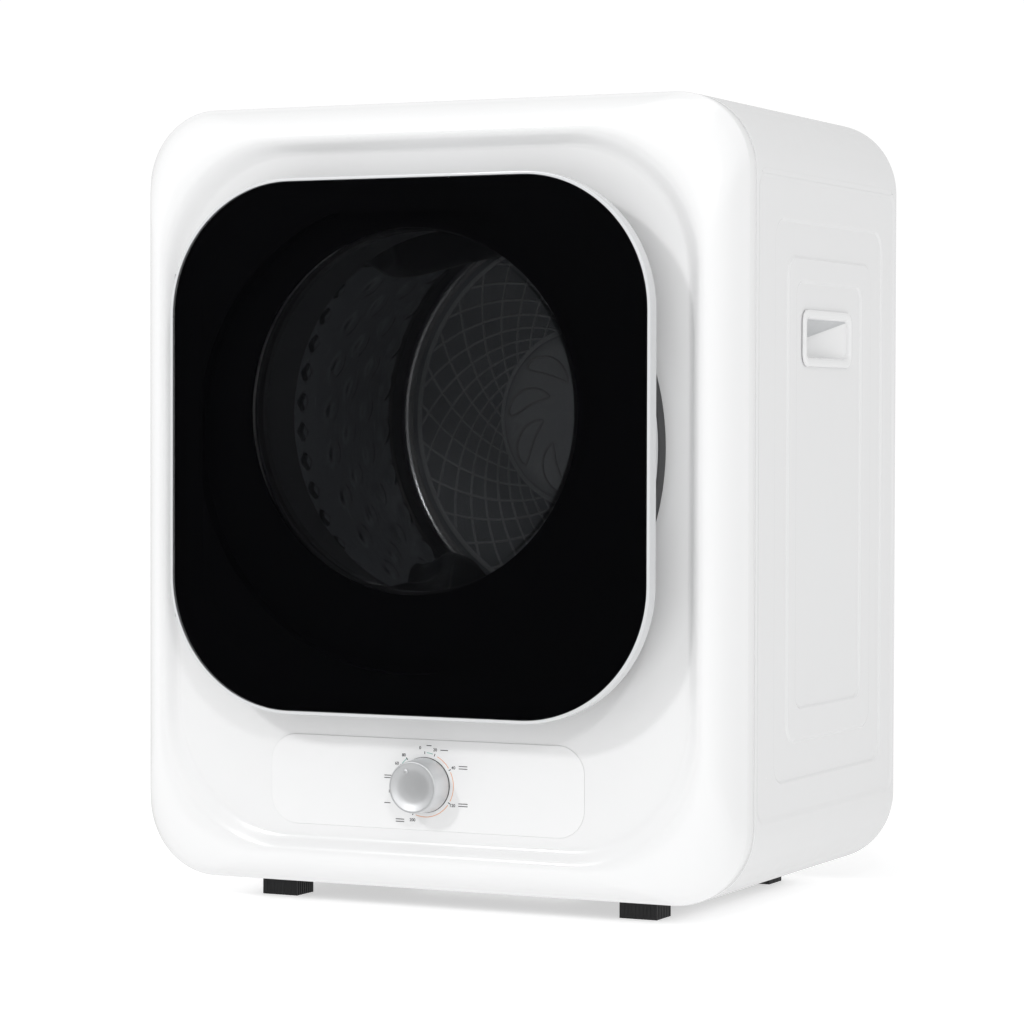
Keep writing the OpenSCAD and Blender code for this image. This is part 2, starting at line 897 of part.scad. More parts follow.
module motor_pulley() {
  x = motor_x;
  z = motor_z;
  color("gray") {
    tube_y(motor_pulley_r, axle_r, belt_y - 5.5, belt_y + 5.5, x, z);
    tube_y(motor_pulley_r + 4, axle_r, belt_y - 7, belt_y - 5.5, x, z);
    tube_y(motor_pulley_r + 4, axle_r, belt_y + 5.5, belt_y + 7, x, z);
    tube_y(rear_pulley_r, axle_r, rear_belt_y - 4, rear_belt_y + 4, x, z);
    tube_y(rear_pulley_r + 4, axle_r, rear_belt_y - 5.2, rear_belt_y - 4, x, z);
    tube_y(rear_pulley_r + 4, axle_r, rear_belt_y + 4, rear_belt_y + 5.2, x, z);
  }
}

module motor_cradle() {
  floor_z = foot_h + wall + 0.2;
  color("gray")
    difference() {
      union() {
        box([motor_x - 45, -34, floor_z], [motor_x + 62, 76, floor_z + 2]);
        for (y = [-19, 55])
          box([motor_x - 40, y, floor_z], [motor_x + 40, y + 4, motor_z - 8]);
        box([motor_x + 46, -44, floor_z], [motor_x + 62, -34, floor_z + 2]);
        box([motor_x + 46, -28, floor_z], [motor_x + 62, -25, 62]);
      }
      bar_y(motor_r + 0.1, -30, 70, motor_x, motor_z);
      bar_y(3.05, -30, -20, motor_x + 54, 52);
    }
}

module motor_capacitor() {
  color("whitesmoke")
    bar_y(20, -30, 40, 60, foot_h + wall + 22);
}

// Flat belt round two pulleys in the (x, z) plane, drawn as an exact loop of arcs and straight runs
module belt_loop(x0, z0, r0, x1, z1, r1, t, y0, y1) {
  reach = norm([x1 - x0, z1 - z0]);
  heading = atan2(z1 - z0, x1 - x0);
  lean = acos((r0 - r1) / reach);
  // The straight runs start a hair inside the arcs, so that they cross instead of grazing
  bite = 0.03;
  module band(grow) {
    a = r0 + grow - bite;
    b = r1 + grow - bite;
    translate([x0, z0])
      circle(r0 + grow, $fn = 180);
    translate([x1, z1])
      circle(r1 + grow);
    polygon([for (p = [[x0, z0, a, lean], [x1, z1, b, lean], [x1, z1, b, -lean], [x0, z0, a, -lean]])
      [p[0] + p[2] * cos(heading + p[3]), p[1] + p[2] * sin(heading + p[3])]]);
  }
  translate([0, y1, 0])
    rotate([90, 0, 0])
      linear_extrude(y1 - y0)
        difference() {
          band(t);
          band(0);
        }
}

module drum_belt() {
  color("black")
    belt_loop(0, drum_z, drum_r + gap, motor_x, motor_z, motor_pulley_r + gap, belt_t,
      belt_y - belt_w / 2, belt_y + belt_w / 2);
}

module blower_belt() {
  color("black")
    belt_loop(0, drum_z, fan_pulley_r + gap, motor_x, motor_z, rear_pulley_r + gap, belt_t,
      rear_belt_y - rear_belt_w / 2, rear_belt_y + rear_belt_w / 2);
}

module blower_wheel() {
  color("whitesmoke") {
    difference() {
      union() {
        bar_y(blower_r, 154, 156, 0, drum_z);
        bar_y(18, 136, 158, 0, drum_z);
        bar_y(11.5, 158, 176, 0, drum_z);
      }
      bar_y(axle_r + run, 130, 180, 0, drum_z);
    }
    tube_y(blower_r, blower_r - 8, 130, 131.5, 0, drum_z);
    for (k = [0:blades - 1])
      translate([0, 0, drum_z])
        rotate([0, 360 / blades * k, 0])
          box([62, 131.5 - 0.5, -0.8], [blower_r - 0.5, 154.5, 0.8]);
  }
}

module blower_pulley() {
  color("gray") {
    tube_y(fan_pulley_r, 11.5, rear_belt_y - 4, rear_belt_y + 4, 0, drum_z);
    tube_y(fan_pulley_r + 3, 11.5, rear_belt_y - 5.2, rear_belt_y - 4, 0, drum_z);
    tube_y(fan_pulley_r + 3, 11.5, rear_belt_y + 4, rear_belt_y + 5.2, 0, drum_z);
  }
}

// The idler runs on the outside of the belt's right-hand run, a third of the way to the drum
belt_heading = atan2(motor_z - drum_z, motor_x);
belt_lean = acos((drum_r - motor_pulley_r) / norm([motor_x, motor_z - drum_z]));
run_angle = belt_heading + belt_lean;
run_along = 75;
idler_off = motor_pulley_r + gap + belt_t + 0.1 + idler_r;
idler_x = motor_x + idler_off * cos(run_angle) - run_along * sin(run_angle);
idler_z = motor_z + idler_off * sin(run_angle) + run_along * cos(run_angle);
pivot_x = motor_x + 54;
pivot_z = 52;

module idler_wheel() {
  color("ivory") {
    tube_y(idler_r, 3 + run, belt_y - 5.5, belt_y + 5.5, idler_x, idler_z);
  }
}

module idler_arm() {
  arm_back = belt_y + 8.6;
  color("gray") {
    bar_y(3, belt_y - 5.9, belt_y + 7.4, idler_x, idler_z);
    bar_y(5, belt_y - 7, belt_y - 5.9, idler_x, idler_z);
    translate([0, arm_back, 0])
      rotate([90, 0, 0])
        linear_extrude(2.6)
          hull() {
            translate([pivot_x, pivot_z])
              circle(8, $fn = 32);
            translate([idler_x, idler_z])
              circle(6, $fn = 32);
          }
    bar_y(3, arm_back, -16, pivot_x, pivot_z);
  }
}

// Torsion spring: a coil round the arm's pivot, behind the cradle's upright, with two straight legs
module idler_spring() {
  turns = 4;
  wire_r = 0.6;
  coil_r = 4.4;
  start_y = -24.2;
  sides = 8;
  per_turn = 20;
  leg = 9;
  n = turns * per_turn;
  coil = [for (k = [0:n]) [coil_r * cos(360 * k / per_turn), start_y + 1.5 * k / per_turn,
    coil_r * sin(360 * k / per_turn)]];
  path = concat([[coil_r, start_y, -leg]], coil, [[coil_r, start_y + 1.5 * turns, leg]]);
  last = len(path) - 1;
  points = [for (k = [0:last], j = [0:sides - 1])
    let (t = path[min(k + 1, last)] - path[max(k - 1, 0)],
      out = [path[k][0], 0, path[k][2]] / norm([path[k][0], path[k][2]]),
      side = cross(t, out) / norm(cross(t, out)), up = cross(side, t) / norm(cross(side, t)))
      path[k] + wire_r * (cos(360 * j / sides) * side + sin(360 * j / sides) * up)];
  rows = [for (k = [0:last - 1], j = [0:sides - 1])
    [k * sides + j, (k + 1) * sides + j, (k + 1) * sides + (j + 1) % sides, k * sides + (j + 1) % sides]];
  cap0 = [for (j = [0:sides - 1]) j];
  cap1 = [for (j = [0:sides - 1]) last * sides + sides - 1 - j];
  color("silver")
    translate([pivot_x, 0, pivot_z])
      polyhedron(points, concat([cap0], rows, [cap1]), convexity = 6);
}

cabinet_shell();
front_panel();
control_overlay();
base_plate();
rear_panel();
rear_cover();
exhaust_collar();
front_bulkhead();
drum_mouth();
drum_felts();
glide_pads();
door_gasket();
rear_bulkhead();
drum_axle();
axle_bracket();
blower_housing();
motor_housing();
motor_cradle();
drum_belt();
blower_belt();
heater_box();
heater_element();
thermostats();
timer_unit();
door_catch();
idler_spring();
hinge_bracket();
hinge_pins();
handle_left();
handle_right();
feet();
cord_gland();
terminal_block();
motor_capacitor();
cabinet_screws();
door_cover();
door_rim();
door_inner_frame();
door_ring();
door_window();
window_ring();
latch_hook();
hinge_leaf();
timer_knob();
timer_shaft();
switch_plunger();
drum_wall();
drum_front();
drum_back_wall();
drum_hub();
drum_lifters();
lint_filter();
motor_rotor();
motor_pulley();
blower_wheel();
blower_pulley();
idler_arm();
idler_wheel();
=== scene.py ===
import json
import math

import bmesh
import bpy
from mathutils import Matrix, Vector


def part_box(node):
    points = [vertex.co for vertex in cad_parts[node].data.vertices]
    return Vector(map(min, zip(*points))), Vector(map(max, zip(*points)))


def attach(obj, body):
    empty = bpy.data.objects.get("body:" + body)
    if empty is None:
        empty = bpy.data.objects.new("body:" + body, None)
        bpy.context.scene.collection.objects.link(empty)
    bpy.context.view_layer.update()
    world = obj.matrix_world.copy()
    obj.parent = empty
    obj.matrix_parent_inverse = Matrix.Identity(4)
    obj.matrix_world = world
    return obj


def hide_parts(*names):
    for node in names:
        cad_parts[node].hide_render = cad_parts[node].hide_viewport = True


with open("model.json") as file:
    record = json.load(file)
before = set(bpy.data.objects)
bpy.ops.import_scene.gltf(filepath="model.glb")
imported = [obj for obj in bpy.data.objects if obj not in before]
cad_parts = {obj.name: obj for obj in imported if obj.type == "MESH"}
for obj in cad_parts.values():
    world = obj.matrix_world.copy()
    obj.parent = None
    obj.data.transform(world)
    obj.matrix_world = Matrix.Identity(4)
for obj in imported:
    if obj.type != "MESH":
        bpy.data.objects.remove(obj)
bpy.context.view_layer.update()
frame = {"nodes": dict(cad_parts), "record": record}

TAU = 2 * math.pi

# ---------------------------------------------------------------------------
# Planes, centres and radii in metres, most worked out from the imported frame and some given as numbers
# ---------------------------------------------------------------------------


def centre_of(node):
    low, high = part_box(node)
    return (low + high) / 2


PANEL_LOW, PANEL_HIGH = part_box("front_panel")
SHELL_LOW, SHELL_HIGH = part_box("cabinet_shell")
BODY_W = PANEL_HIGH.x - PANEL_LOW.x
BODY_H = PANEL_HIGH.z - PANEL_LOW.z
BODY_Z = (PANEL_HIGH.z + PANEL_LOW.z) / 2
SEAM_Y = PANEL_HIGH.y
CREASE_Y = SEAM_Y - 0.0138
CREST_Y = PANEL_LOW.y
OVERLAY = centre_of("control_overlay")
DISH_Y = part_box("control_overlay")[1].y
OVERLAY_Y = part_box("control_overlay")[0].y
CORNER_R = 0.057
DISH_R = 0.100
DISH_IN = 0.036

COVER_LOW, COVER_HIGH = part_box("door_cover")
DOOR_W = COVER_HIGH.x - COVER_LOW.x
DOOR_H = COVER_HIGH.z - COVER_LOW.z
DOOR_Z = (COVER_HIGH.z + COVER_LOW.z) / 2
DOOR_R = 0.098
RIM_LOW, RIM_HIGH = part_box("door_rim")
WINDOW = centre_of("window_ring")
WINDOW_R = 0.134
DRUM_Z = centre_of("drum_axle").z
MOUTH_R = 0.140
KNOB = centre_of("timer_knob")


# ---------------------------------------------------------------------------
# Outlines and profiles
# ---------------------------------------------------------------------------


def rounded_hit(angle, w, h, r, cx=0.0, cz=0.0):
    """Where a ray from (cx, cz) at an angle leaves a rounded rectangle centred on (0, 0)."""
    dx, dz = math.cos(angle), math.sin(angle)
    low, high = 0.0, w + h
    for _ in range(40):
        t = (low + high) / 2
        x, z = abs(cx + dx * t), abs(cz + dz * t)
        qx, qz = x - (w / 2 - r), z - (h / 2 - r)
        outside = math.hypot(max(qx, 0), max(qz, 0)) + min(max(qx, qz), 0) - r
        if outside > 0:
            high = t
        else:
            low = t
    return cx + dx * low, cz + dz * low


def rounded_rect(w, h, r, corner=24, side=14):
    """Points round a rounded rectangle centred on (0, 0), anticlockwise from its lower right corner."""
    points = []
    for k, (sx, sz) in enumerate(((1, -1), (1, 1), (-1, 1), (-1, -1))):
        cx, cz = sx * (w / 2 - r), sz * (h / 2 - r)
        start = -math.pi / 2 + k * math.pi / 2
        arc = [(cx + r * math.cos(start + math.pi / 2 * j / corner),
                cz + r * math.sin(start + math.pi / 2 * j / corner)) for j in range(corner + 1)]
        nx, nz = ((1, 1), (-1, 1), (-1, -1), (1, -1))[k]
        turn = start + math.pi / 2
        ex, ez = nx * (w / 2 - r) + r * math.cos(turn), nz * (h / 2 - r) + r * math.sin(turn)
        points += arc
        points += [(arc[-1][0] + (ex - arc[-1][0]) * j / side, arc[-1][1] + (ez - arc[-1][1]) * j / side)
                   for j in range(1, side)]
    return points


def ray_angles(w, h, r, corner=30, side=60):
    """Angles of evenly spread points round a rounded rectangle, to line up loops of other shapes."""
    return [math.atan2(z, x) for x, z in rounded_rect(w, h, r, corner, side)]


def filleted(points, radii, steps=5):
    """Rounds the corners of an outline of (a, b) points; a radius of 0 leaves a corner sharp."""
    out = []
    for k, p in enumerate(points):
        r = radii[k] if isinstance(radii, (list, tuple)) else radii
        if r <= 0 or k in (0, len(points) - 1):
            out.append(p)
            continue
        a, b = Vector(points[k - 1]), Vector(points[k + 1])
        here = Vector(p)
        u, v = (a - here), (b - here)
        reach = min(r, u.length * 0.49, v.length * 0.49)
        start, end = here + u.normalized() * reach, here + v.normalized() * reach
        for j in range(steps + 1):
            t = j / steps
            q = start * (1 - t) ** 2 + here * 2 * t * (1 - t) + end * t ** 2
            out.append((q.x, q.y))
    return out


def smoothstep(t):
    t = min(1.0, max(0.0, t))
    return t * t * (3 - 2 * t)


# ---------------------------------------------------------------------------
# Mesh building
# ---------------------------------------------------------------------------

SHARP = math.radians(38)


def finish_mesh(name, bm, material, body, replaced=(), sharp=SHARP):
    """Turns a bmesh into a piece that rides on a body: welded, with outward normals and smooth shading."""
    bmesh.ops.remove_doubles(bm, verts=bm.verts, dist=1e-6)
    bmesh.ops.dissolve_degenerate(bm, edges=bm.edges, dist=1e-7)
    bmesh.ops.recalc_face_normals(bm, faces=bm.faces)
    for face in bm.faces:
        face.smooth = True
    for edge in bm.edges:
        if len(edge.link_faces) == 2 and edge.calc_face_angle(0.0) > sharp:
            edge.smooth = False
    mesh = bpy.data.meshes.new(name)
    bm.to_mesh(mesh)
    bm.free()
    obj = bpy.data.objects.new(name, mesh)
    bpy.context.scene.collection.objects.link(obj)
    for m in material if isinstance(material, (list, tuple)) else [material]:
        obj.data.materials.append(m)
    if replaced:
        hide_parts(*replaced)
    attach(obj, body)
    return obj


SLOT_OF = {s["node"]: s["material_slot"] for s in frame["record"]["subparts"]}


def add_loft(bm, loops, close=True, cap_first=False, cap_last=False, wrap=False):
    """Faces between loops of the same number of points; wrap joins the last loop to the first."""
    rows = [[bm.verts.new(p) for p in loop] for loop in loops]
    n = len(rows[0])
    pairs = list(zip(rows, rows[1:])) + ([(rows[-1], rows[0])] if wrap else [])
    for a, b in pairs:
        for k in range(n if close else n - 1):
            j = (k + 1) % n
            bm.faces.new((a[k], a[j], b[j], b[k]))
    if cap_first:
        bm.faces.new(rows[0])
    if cap_last:
        bm.faces.new(rows[-1])
    return rows


def turned(name, profile, x, z, material, body, replaced=(), steps=180, closed=True):
    """A solid of revolution about a depth-wise axis, from (radius, y) points."""
    bm = bmesh.new()
    loops = [[(x + r * math.cos(TAU * k / steps), y, z + r * math.sin(TAU * k / steps))
              for k in range(steps)] for r, y in profile]
    add_loft(bm, loops, wrap=closed)
    return finish_mesh(name, bm, material, body, replaced)


def frame_sweep(name, w, h, r, profile, z, material, body, replaced=(), closed=True, cap_last=False):
    """A profile of (distance in from the edge, y) points swept round a rounded rectangle."""
    bm = bmesh.new()
    loops = [[(px, y, z + pz) for px, pz in rounded_rect(w - 2 * d, h - 2 * d, max(r - d, 1e-4), 32, 10)]
             for d, y in profile]
    add_loft(bm, loops, wrap=closed, cap_last=cap_last)
    return finish_mesh(name, bm, material, body, replaced)


def settle(obj):
    """Applies an object's modifiers to its mesh."""
    bpy.context.view_layer.update()
    graph = bpy.context.evaluated_depsgraph_get()
    mesh = bpy.data.meshes.new_from_object(obj.evaluated_get(graph))
    obj.modifiers.clear()
    obj.data = mesh
    return obj


def thicken(obj, thickness):
    """Gives a sheet its thickness, inward from its face."""
    mod = obj.modifiers.new("thickness", "SOLIDIFY")
    mod.thickness = thickness
    mod.offset = -1.0
    mod.use_even_offset = False
    return settle(obj)


def even_normals(obj):
    """Lets the large flat faces rule the shading, so that narrow bends don't tint them."""
    mod = obj.modifiers.new("normals", "WEIGHTED_NORMAL")
    mod.keep_sharp = True
    mod.weight = 60
    return settle(obj)


def add_box(bm, low, high):
    corners = [(x, y, z) for x in (low[0], high[0]) for y in (low[1], high[1]) for z in (low[2], high[2])]
    v = [bm.verts.new(c) for c in corners]
    for quad in ((0, 1, 3, 2), (4, 6, 7, 5), (0, 4, 5, 1), (2, 3, 7, 6), (0, 2, 6, 4), (1, 5, 7, 3)):
        bm.faces.new([v[k] for k in quad])
    return v


def add_rod(bm, a, b, r, n=24):
    """A round bar between two points."""
    a, b = Vector(a), Vector(b)
    turn = (b - a).to_track_quat("Z", "Y").to_matrix()
    ring = [turn @ Vector((r * math.cos(TAU * k / n), r * math.sin(TAU * k / n), 0)) for k in range(n)]
    add_loft(bm, [[a + p for p in ring], [b + p for p in ring]], cap_first=True, cap_last=True)


def cut(obj, boxes=(), rods=()):
    """Cuts square and round holes through a piece."""
    bm = bmesh.new()
    for low, high in boxes:
        add_box(bm, low, high)
    for a, b, r in rods:
        add_rod(bm, a, b, r, 32 if r < 0.02 else 240)
    bmesh.ops.recalc_face_normals(bm, faces=bm.faces)
    mesh = bpy.data.meshes.new("cutter")
    bm.to_mesh(mesh)
    bm.free()
    tool = bpy.data.objects.new("cutter", mesh)
    bpy.context.scene.collection.objects.link(tool)
    mod = obj.modifiers.new("holes", "BOOLEAN")
    mod.operation = "DIFFERENCE"
    mod.solver = "EXACT"
    mod.object = tool
    settle(obj)
    bpy.data.objects.remove(tool)
    return obj


# ---------------------------------------------------------------------------
# Materials: one short function for each family
# ---------------------------------------------------------------------------


class Shader:
    """A Principled material with helpers for procedural colour, roughness and bump."""

    def __init__(self, name, color, rough, metal=0.0, **sockets):
        self.mat = bpy.data.materials.new(name)
        self.mat.use_nodes = True
        self.tree = self.mat.node_tree
        self.bsdf = self.tree.nodes["Principled BSDF"]
        self.bsdf.inputs["Base Color"].default_value = (*color, 1)
        self.bsdf.inputs["Roughness"].default_value = rough
        self.bsdf.inputs["Metallic"].default_value = metal
        for key, value in sockets.items():
            self.bsdf.inputs[key.replace("_", " ")].default_value = value
        self.coord = self.tree.nodes.new("ShaderNodeTexCoord").outputs["Object"]

    def node(self, kind, **settings):
        n = self.tree.nodes.new(kind)
        for key, value in settings.items():
            if key in n.inputs:
                n.inputs[key].default_value = value
            else:
                setattr(n, key, value)
        return n

    def link(self, a, b):
        self.tree.links.new(a, b)

    def stretched(self, scale, source=None):
        n = self.node("ShaderNodeMapping")
        n.inputs["Scale"].default_value = scale
        self.link(source or self.coord, n.inputs["Vector"])
        return n.outputs["Vector"]

    def noise(self, scale, detail=3.0, vector=None, rough=0.5):
        n = self.node("ShaderNodeTexNoise", Scale=scale, Detail=detail, Roughness=rough)
        self.link(vector or self.coord, n.inputs["Vector"])
        return n.outputs["Fac"]

    def ramp(self, fac, low, high):
        n = self.node("ShaderNodeMapRange")
        n.inputs["To Min"].default_value = low
        n.inputs["To Max"].default_value = high
        self.link(fac, n.inputs["Value"])
        return n.outputs["Result"]

    def mix(self, fac, a, b):
        n = self.node("ShaderNodeMix", data_type="RGBA")
        for key, value in (("A", a), ("B", b)):
            socket = next(s for s in n.inputs if s.name == key and s.type == "RGBA")
            if hasattr(value, "links"):
                self.link(value, socket)
            else:
                socket.default_value = (*value, 1)
        self.link(fac, n.inputs["Factor"])
        return next(s for s in n.outputs if s.type == "RGBA")

    def color(self, fac, a, b):
        self.link(self.mix(fac, a, b), self.bsdf.inputs["Base Color"])

    def roughness(self, fac, low, high):
        self.link(self.ramp(fac, low, high), self.bsdf.inputs["Roughness"])

    def bump(self, height, strength, distance):
        n = self.node("ShaderNodeBump", Strength=strength, Distance=distance)
        self.link(height, n.inputs["Height"])
        self.link(n.outputs["Normal"], self.bsdf.inputs["Normal"])


def enamel(name, color, rough=0.22, peel=0.06):
    """Sprayed enamel or gloss moulding: an even colour with the faintest mottle and orange peel."""
    s = Shader(name, color, rough, Coat_Weight=0.4, Coat_Roughness=0.06)
    mottle = s.noise(9, 4)
    darker = tuple(c * 0.985 for c in color)
    s.color(mottle, darker, color)
    s.roughness(s.noise(60, 2), rough * 0.85, rough * 1.15)
    s.bump(s.noise(420, 2), peel, 0.0002)
    return s.mat


def moulded(name, color, rough=0.4, grain=0.15, scale=900, gloss=0.5):
    """Moulded plastic or rubber with a fine spark-eroded grain."""
    s = Shader(name, color, rough, Specular_IOR_Level=gloss)
    s.color(s.noise(35, 3), tuple(c * 0.93 for c in color), tuple(min(1, c * 1.05) for c in color))
    s.roughness(s.noise(120, 3), rough * 0.85, min(1, rough * 1.15))
    s.bump(s.noise(scale, 2), grain, 0.0003)
    return s.mat


def metal(name, color, rough=0.3, stretch=(1, 60, 60), wear=0.1):
    """Bare metal with a drawn or turned grain along one direction."""
    s = Shader(name, color, rough, 1.0)
    grain = s.noise(40, 4, s.stretched(stretch))
    s.color(grain, tuple(c * (1 - wear) for c in color), color)
    s.roughness(grain, rough * 0.75, rough * 1.3)
    s.bump(grain, 0.08, 0.0002)
    return s.mat


def zinc(name):
    """Zinc-coated sheet with a faint spangle."""
    s = Shader(name, (0.52, 0.54, 0.56), 0.42, 0.9)
    cells = s.node("ShaderNodeTexVoronoi", Scale=90.0)
    s.link(s.coord, cells.inputs["Vector"])
    grey = s.ramp(cells.outputs["Color"], 0.0, 1.0)
    s.color(grey, (0.46, 0.48, 0.5), (0.58, 0.6, 0.62))
    s.roughness(grey, 0.34, 0.5)
    s.bump(s.noise(300, 2), 0.05, 0.0003)
    return s.mat


def smoked(name, tint, alpha, rough=0.03):
    """Tinted clear sheet: a thin film that lets part of the light through."""
    s = Shader(name, tint, rough, Alpha=alpha, IOR=1.5, Specular_IOR_Level=0.2)
    s.roughness(s.noise(14, 3), rough * 0.6, rough * 1.6)
    s.mat.surface_render_method = "BLENDED"
    return s.mat


M_FRONT = enamel("gloss_white_moulding", (0.86, 0.862, 0.865), 0.2)
M_SHELL = enamel("white_enamel", (0.83, 0.832, 0.836), 0.25)
M_OVERLAY = enamel("overlay_white", (0.87, 0.872, 0.875), 0.32, 0.02)
M_HANDLE = enamel("handle_white", (0.86, 0.862, 0.865), 0.24)
M_RIM = enamel("rim_silver_white", (0.66, 0.67, 0.68), 0.22)
M_RING = moulded("ring_grey", (0.55, 0.56, 0.57), 0.35, 0.05)
M_BLACK = moulded("frame_black", (0.002, 0.002, 0.0025), 0.35, 0.01, gloss=0.05)
M_GASKET = moulded("gasket_rubber", (0.03, 0.03, 0.032), 0.5, 0.2, 500)
M_FOOT = moulded("foot_rubber", (0.014, 0.014, 0.015), 0.55, 0.35, 700)
M_TRAY = moulded("tray_black", (0.02, 0.02, 0.021), 0.5, 0.2)
M_NYLON = moulded("nylon", (0.75, 0.74, 0.7), 0.45, 0.1)
M_BLACK_PLASTIC = moulded("black_plastic", (0.02, 0.02, 0.021), 0.45, 0.25)
M_COVER = smoked("smoked_cover", (0.002, 0.002, 0.0025), 0.30, 0.02)
M_BOWL = smoked("window_clear", (0.05, 0.052, 0.055), 0.06, 0.03)
M_ZINC = zinc("zinc_sheet")
M_STEEL = metal("bright_steel", (0.6, 0.61, 0.62), 0.28)
M_KNOB = metal("knob_satin", (0.82, 0.83, 0.84), 0.5, (60, 1, 60), 0.05)
M_DRUM = metal("drum_steel", (0.55, 0.56, 0.58), 0.24, (1, 30, 1), 0.1)
M_DARK_STEEL = metal("dull_steel", (0.3, 0.31, 0.32), 0.42)
M_GREY = moulded("grille_grey", (0.66, 0.69, 0.72), 0.25, 0.05)
M_LIFTER = moulded("lifter_dark", (0.02, 0.02, 0.022), 0.3, 0.1)
M_TRIM = moulded("trim_dark_gloss", (0.03, 0.03, 0.032), 0.08, 0.01)
# Near black: painted shade on the mouth tube's inside, darkened so that light falling in through the window
# doesn't show there.
M_MOUTH_PAINTED_SHADE = moulded("mouth_grey", (0.04, 0.042, 0.045), 0.3, 0.05)
M_REAR = moulded("rear_wall_grey", (0.34, 0.36, 0.38), 0.42, 0.05)
M_FELT = moulded("felt", (0.3, 0.3, 0.29), 0.95, 0.9, 1400)
M_BELT = moulded("belt_rubber", (0.02, 0.02, 0.02), 0.6, 0.3)
M_FINS = metal("fin_aluminium", (0.6, 0.6, 0.6), 0.4)


# ---------------------------------------------------------------------------
# Front moulding
# ---------------------------------------------------------------------------


def build_front_moulding():
    """Gloss front: flat flange, sharp crease, domed band, soft dish and a turned-in mouth edge."""
    angles = ray_angles(BODY_W, BODY_H, 0.075, 30, 70)
    crest_in = 0.026
    crown = CREASE_Y - CREST_Y
    dish = CREASE_Y - DISH_Y

    def outline(inset, r, y):
        return [(x, y, BODY_Z + z) for x, z in
                (rounded_hit(a, BODY_W - 2 * inset, BODY_H - 2 * inset, r) for a in angles)]

    loops = [outline(0.0012, CORNER_R - 0.0012, SEAM_Y - 0.0001), outline(0.0003, CORNER_R, SEAM_Y - 0.0005),
             outline(0, CORNER_R, SEAM_Y - 0.0014), outline(0, CORNER_R, CREASE_Y + 0.0009),
             outline(0.0002, CORNER_R, CREASE_Y + 0.0003), outline(0.0007, CORNER_R, CREASE_Y - 0.0006)]
    steps = 18
    for k in range(1, steps + 1):
        t = k / steps
        d = 0.0007 + (crest_in - 0.0007) * t
        rise = crown * (1 - (1 - t) ** 2.1) * (1 - 0.03 * t) + crown * 0.03 * t
        r = CORNER_R + (DISH_R - 0.004 - CORNER_R) * smoothstep(t)
        loops.append(outline(d, r, CREASE_Y - max(rise, 0.0008)))
    for k in range(1, 13):
        t = k / 12
        d = crest_in + (DISH_IN + 0.003 - crest_in) * t
        y = CREST_Y + (crown - dish) * smoothstep(t)
        loops.append(outline(d, DISH_R - 0.004 + 0.004 * t, y))
    mouth = MOUTH_R + 0.0045
    dish_rim = outline(DISH_IN + 0.003, DISH_R, DISH_Y)
    for t in (0.25, 0.6, 0.97):
        loops.append([(p[0] * (1 - t) + (mouth + 0.002) * math.cos(a) * t, DISH_Y,
                       p[2] * (1 - t) + (DRUM_Z + (mouth + 0.002) * math.sin(a)) * t)
                      for p, a in zip(dish_rim, angles)])
    for r, y in ((mouth + 0.0015, DISH_Y), (mouth + 0.0004, DISH_Y + 0.0005), (mouth, DISH_Y + 0.0015),
                 (mouth, DISH_Y + 0.006)):
        loops.append([(r * math.cos(a), y, DRUM_Z + r * math.sin(a)) for a in angles])
    bm = bmesh.new()
    add_loft(bm, loops)
    obj = finish_mesh("front_moulding", bm, M_FRONT, "root", ("front_panel",), math.radians(30))
    thicken(obj, 0.0022)
    return obj


moulding = build_front_moulding()
latch_low, latch_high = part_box("latch_hook")
plunger = centre_of("switch_plunger")
cut(moulding,
    boxes=[((latch_low.x - 0.004, DISH_Y - 0.002, latch_low.z - 0.004),
            (latch_high.x + 0.004, DISH_Y + 0.004, latch_high.z + 0.004))],
    rods=[((plunger.x, DISH_Y - 0.002, plunger.z), (plunger.x, DISH_Y + 0.004, plunger.z), 0.0027)])


# ---------------------------------------------------------------------------
# Cabinet skin with nested pressed panels on both sides
# ---------------------------------------------------------------------------

GRIP_LOW, GRIP_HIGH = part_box("handle_right")
GRIP_Y, GRIP_Z = (GRIP_LOW.y + GRIP_HIGH.y) / 2, (GRIP_LOW.z + GRIP_HIGH.z) / 2
GRIP_W, GRIP_H = GRIP_HIGH.y - GRIP_LOW.y, GRIP_HIGH.z - GRIP_LOW.z
SIDE_X = SHELL_HIGH.x
BACK_Y = SHELL_HIGH.y
FRONT_Y = SHELL_LOW.y
FLAT_LOW, FLAT_HIGH = SHELL_LOW.z + CORNER_R, SHELL_HIGH.z - CORNER_R

# Each press: front y, rear y, bottom z, top z, corner radius
PRESSES = {
    "field": (FRONT_Y + 0.006, BACK_Y - 0.006, FLAT_LOW + 0.003, FLAT_HIGH - 0.001, 0.012),
    "outer": (-0.094, 0.132, 0.101, 0.511, 0.016),
    "middle": (-0.068, 0.108, 0.129, 0.485, 0.015),
    "inner": (-0.051, 0.086, 0.153, 0.467, 0.011),
}


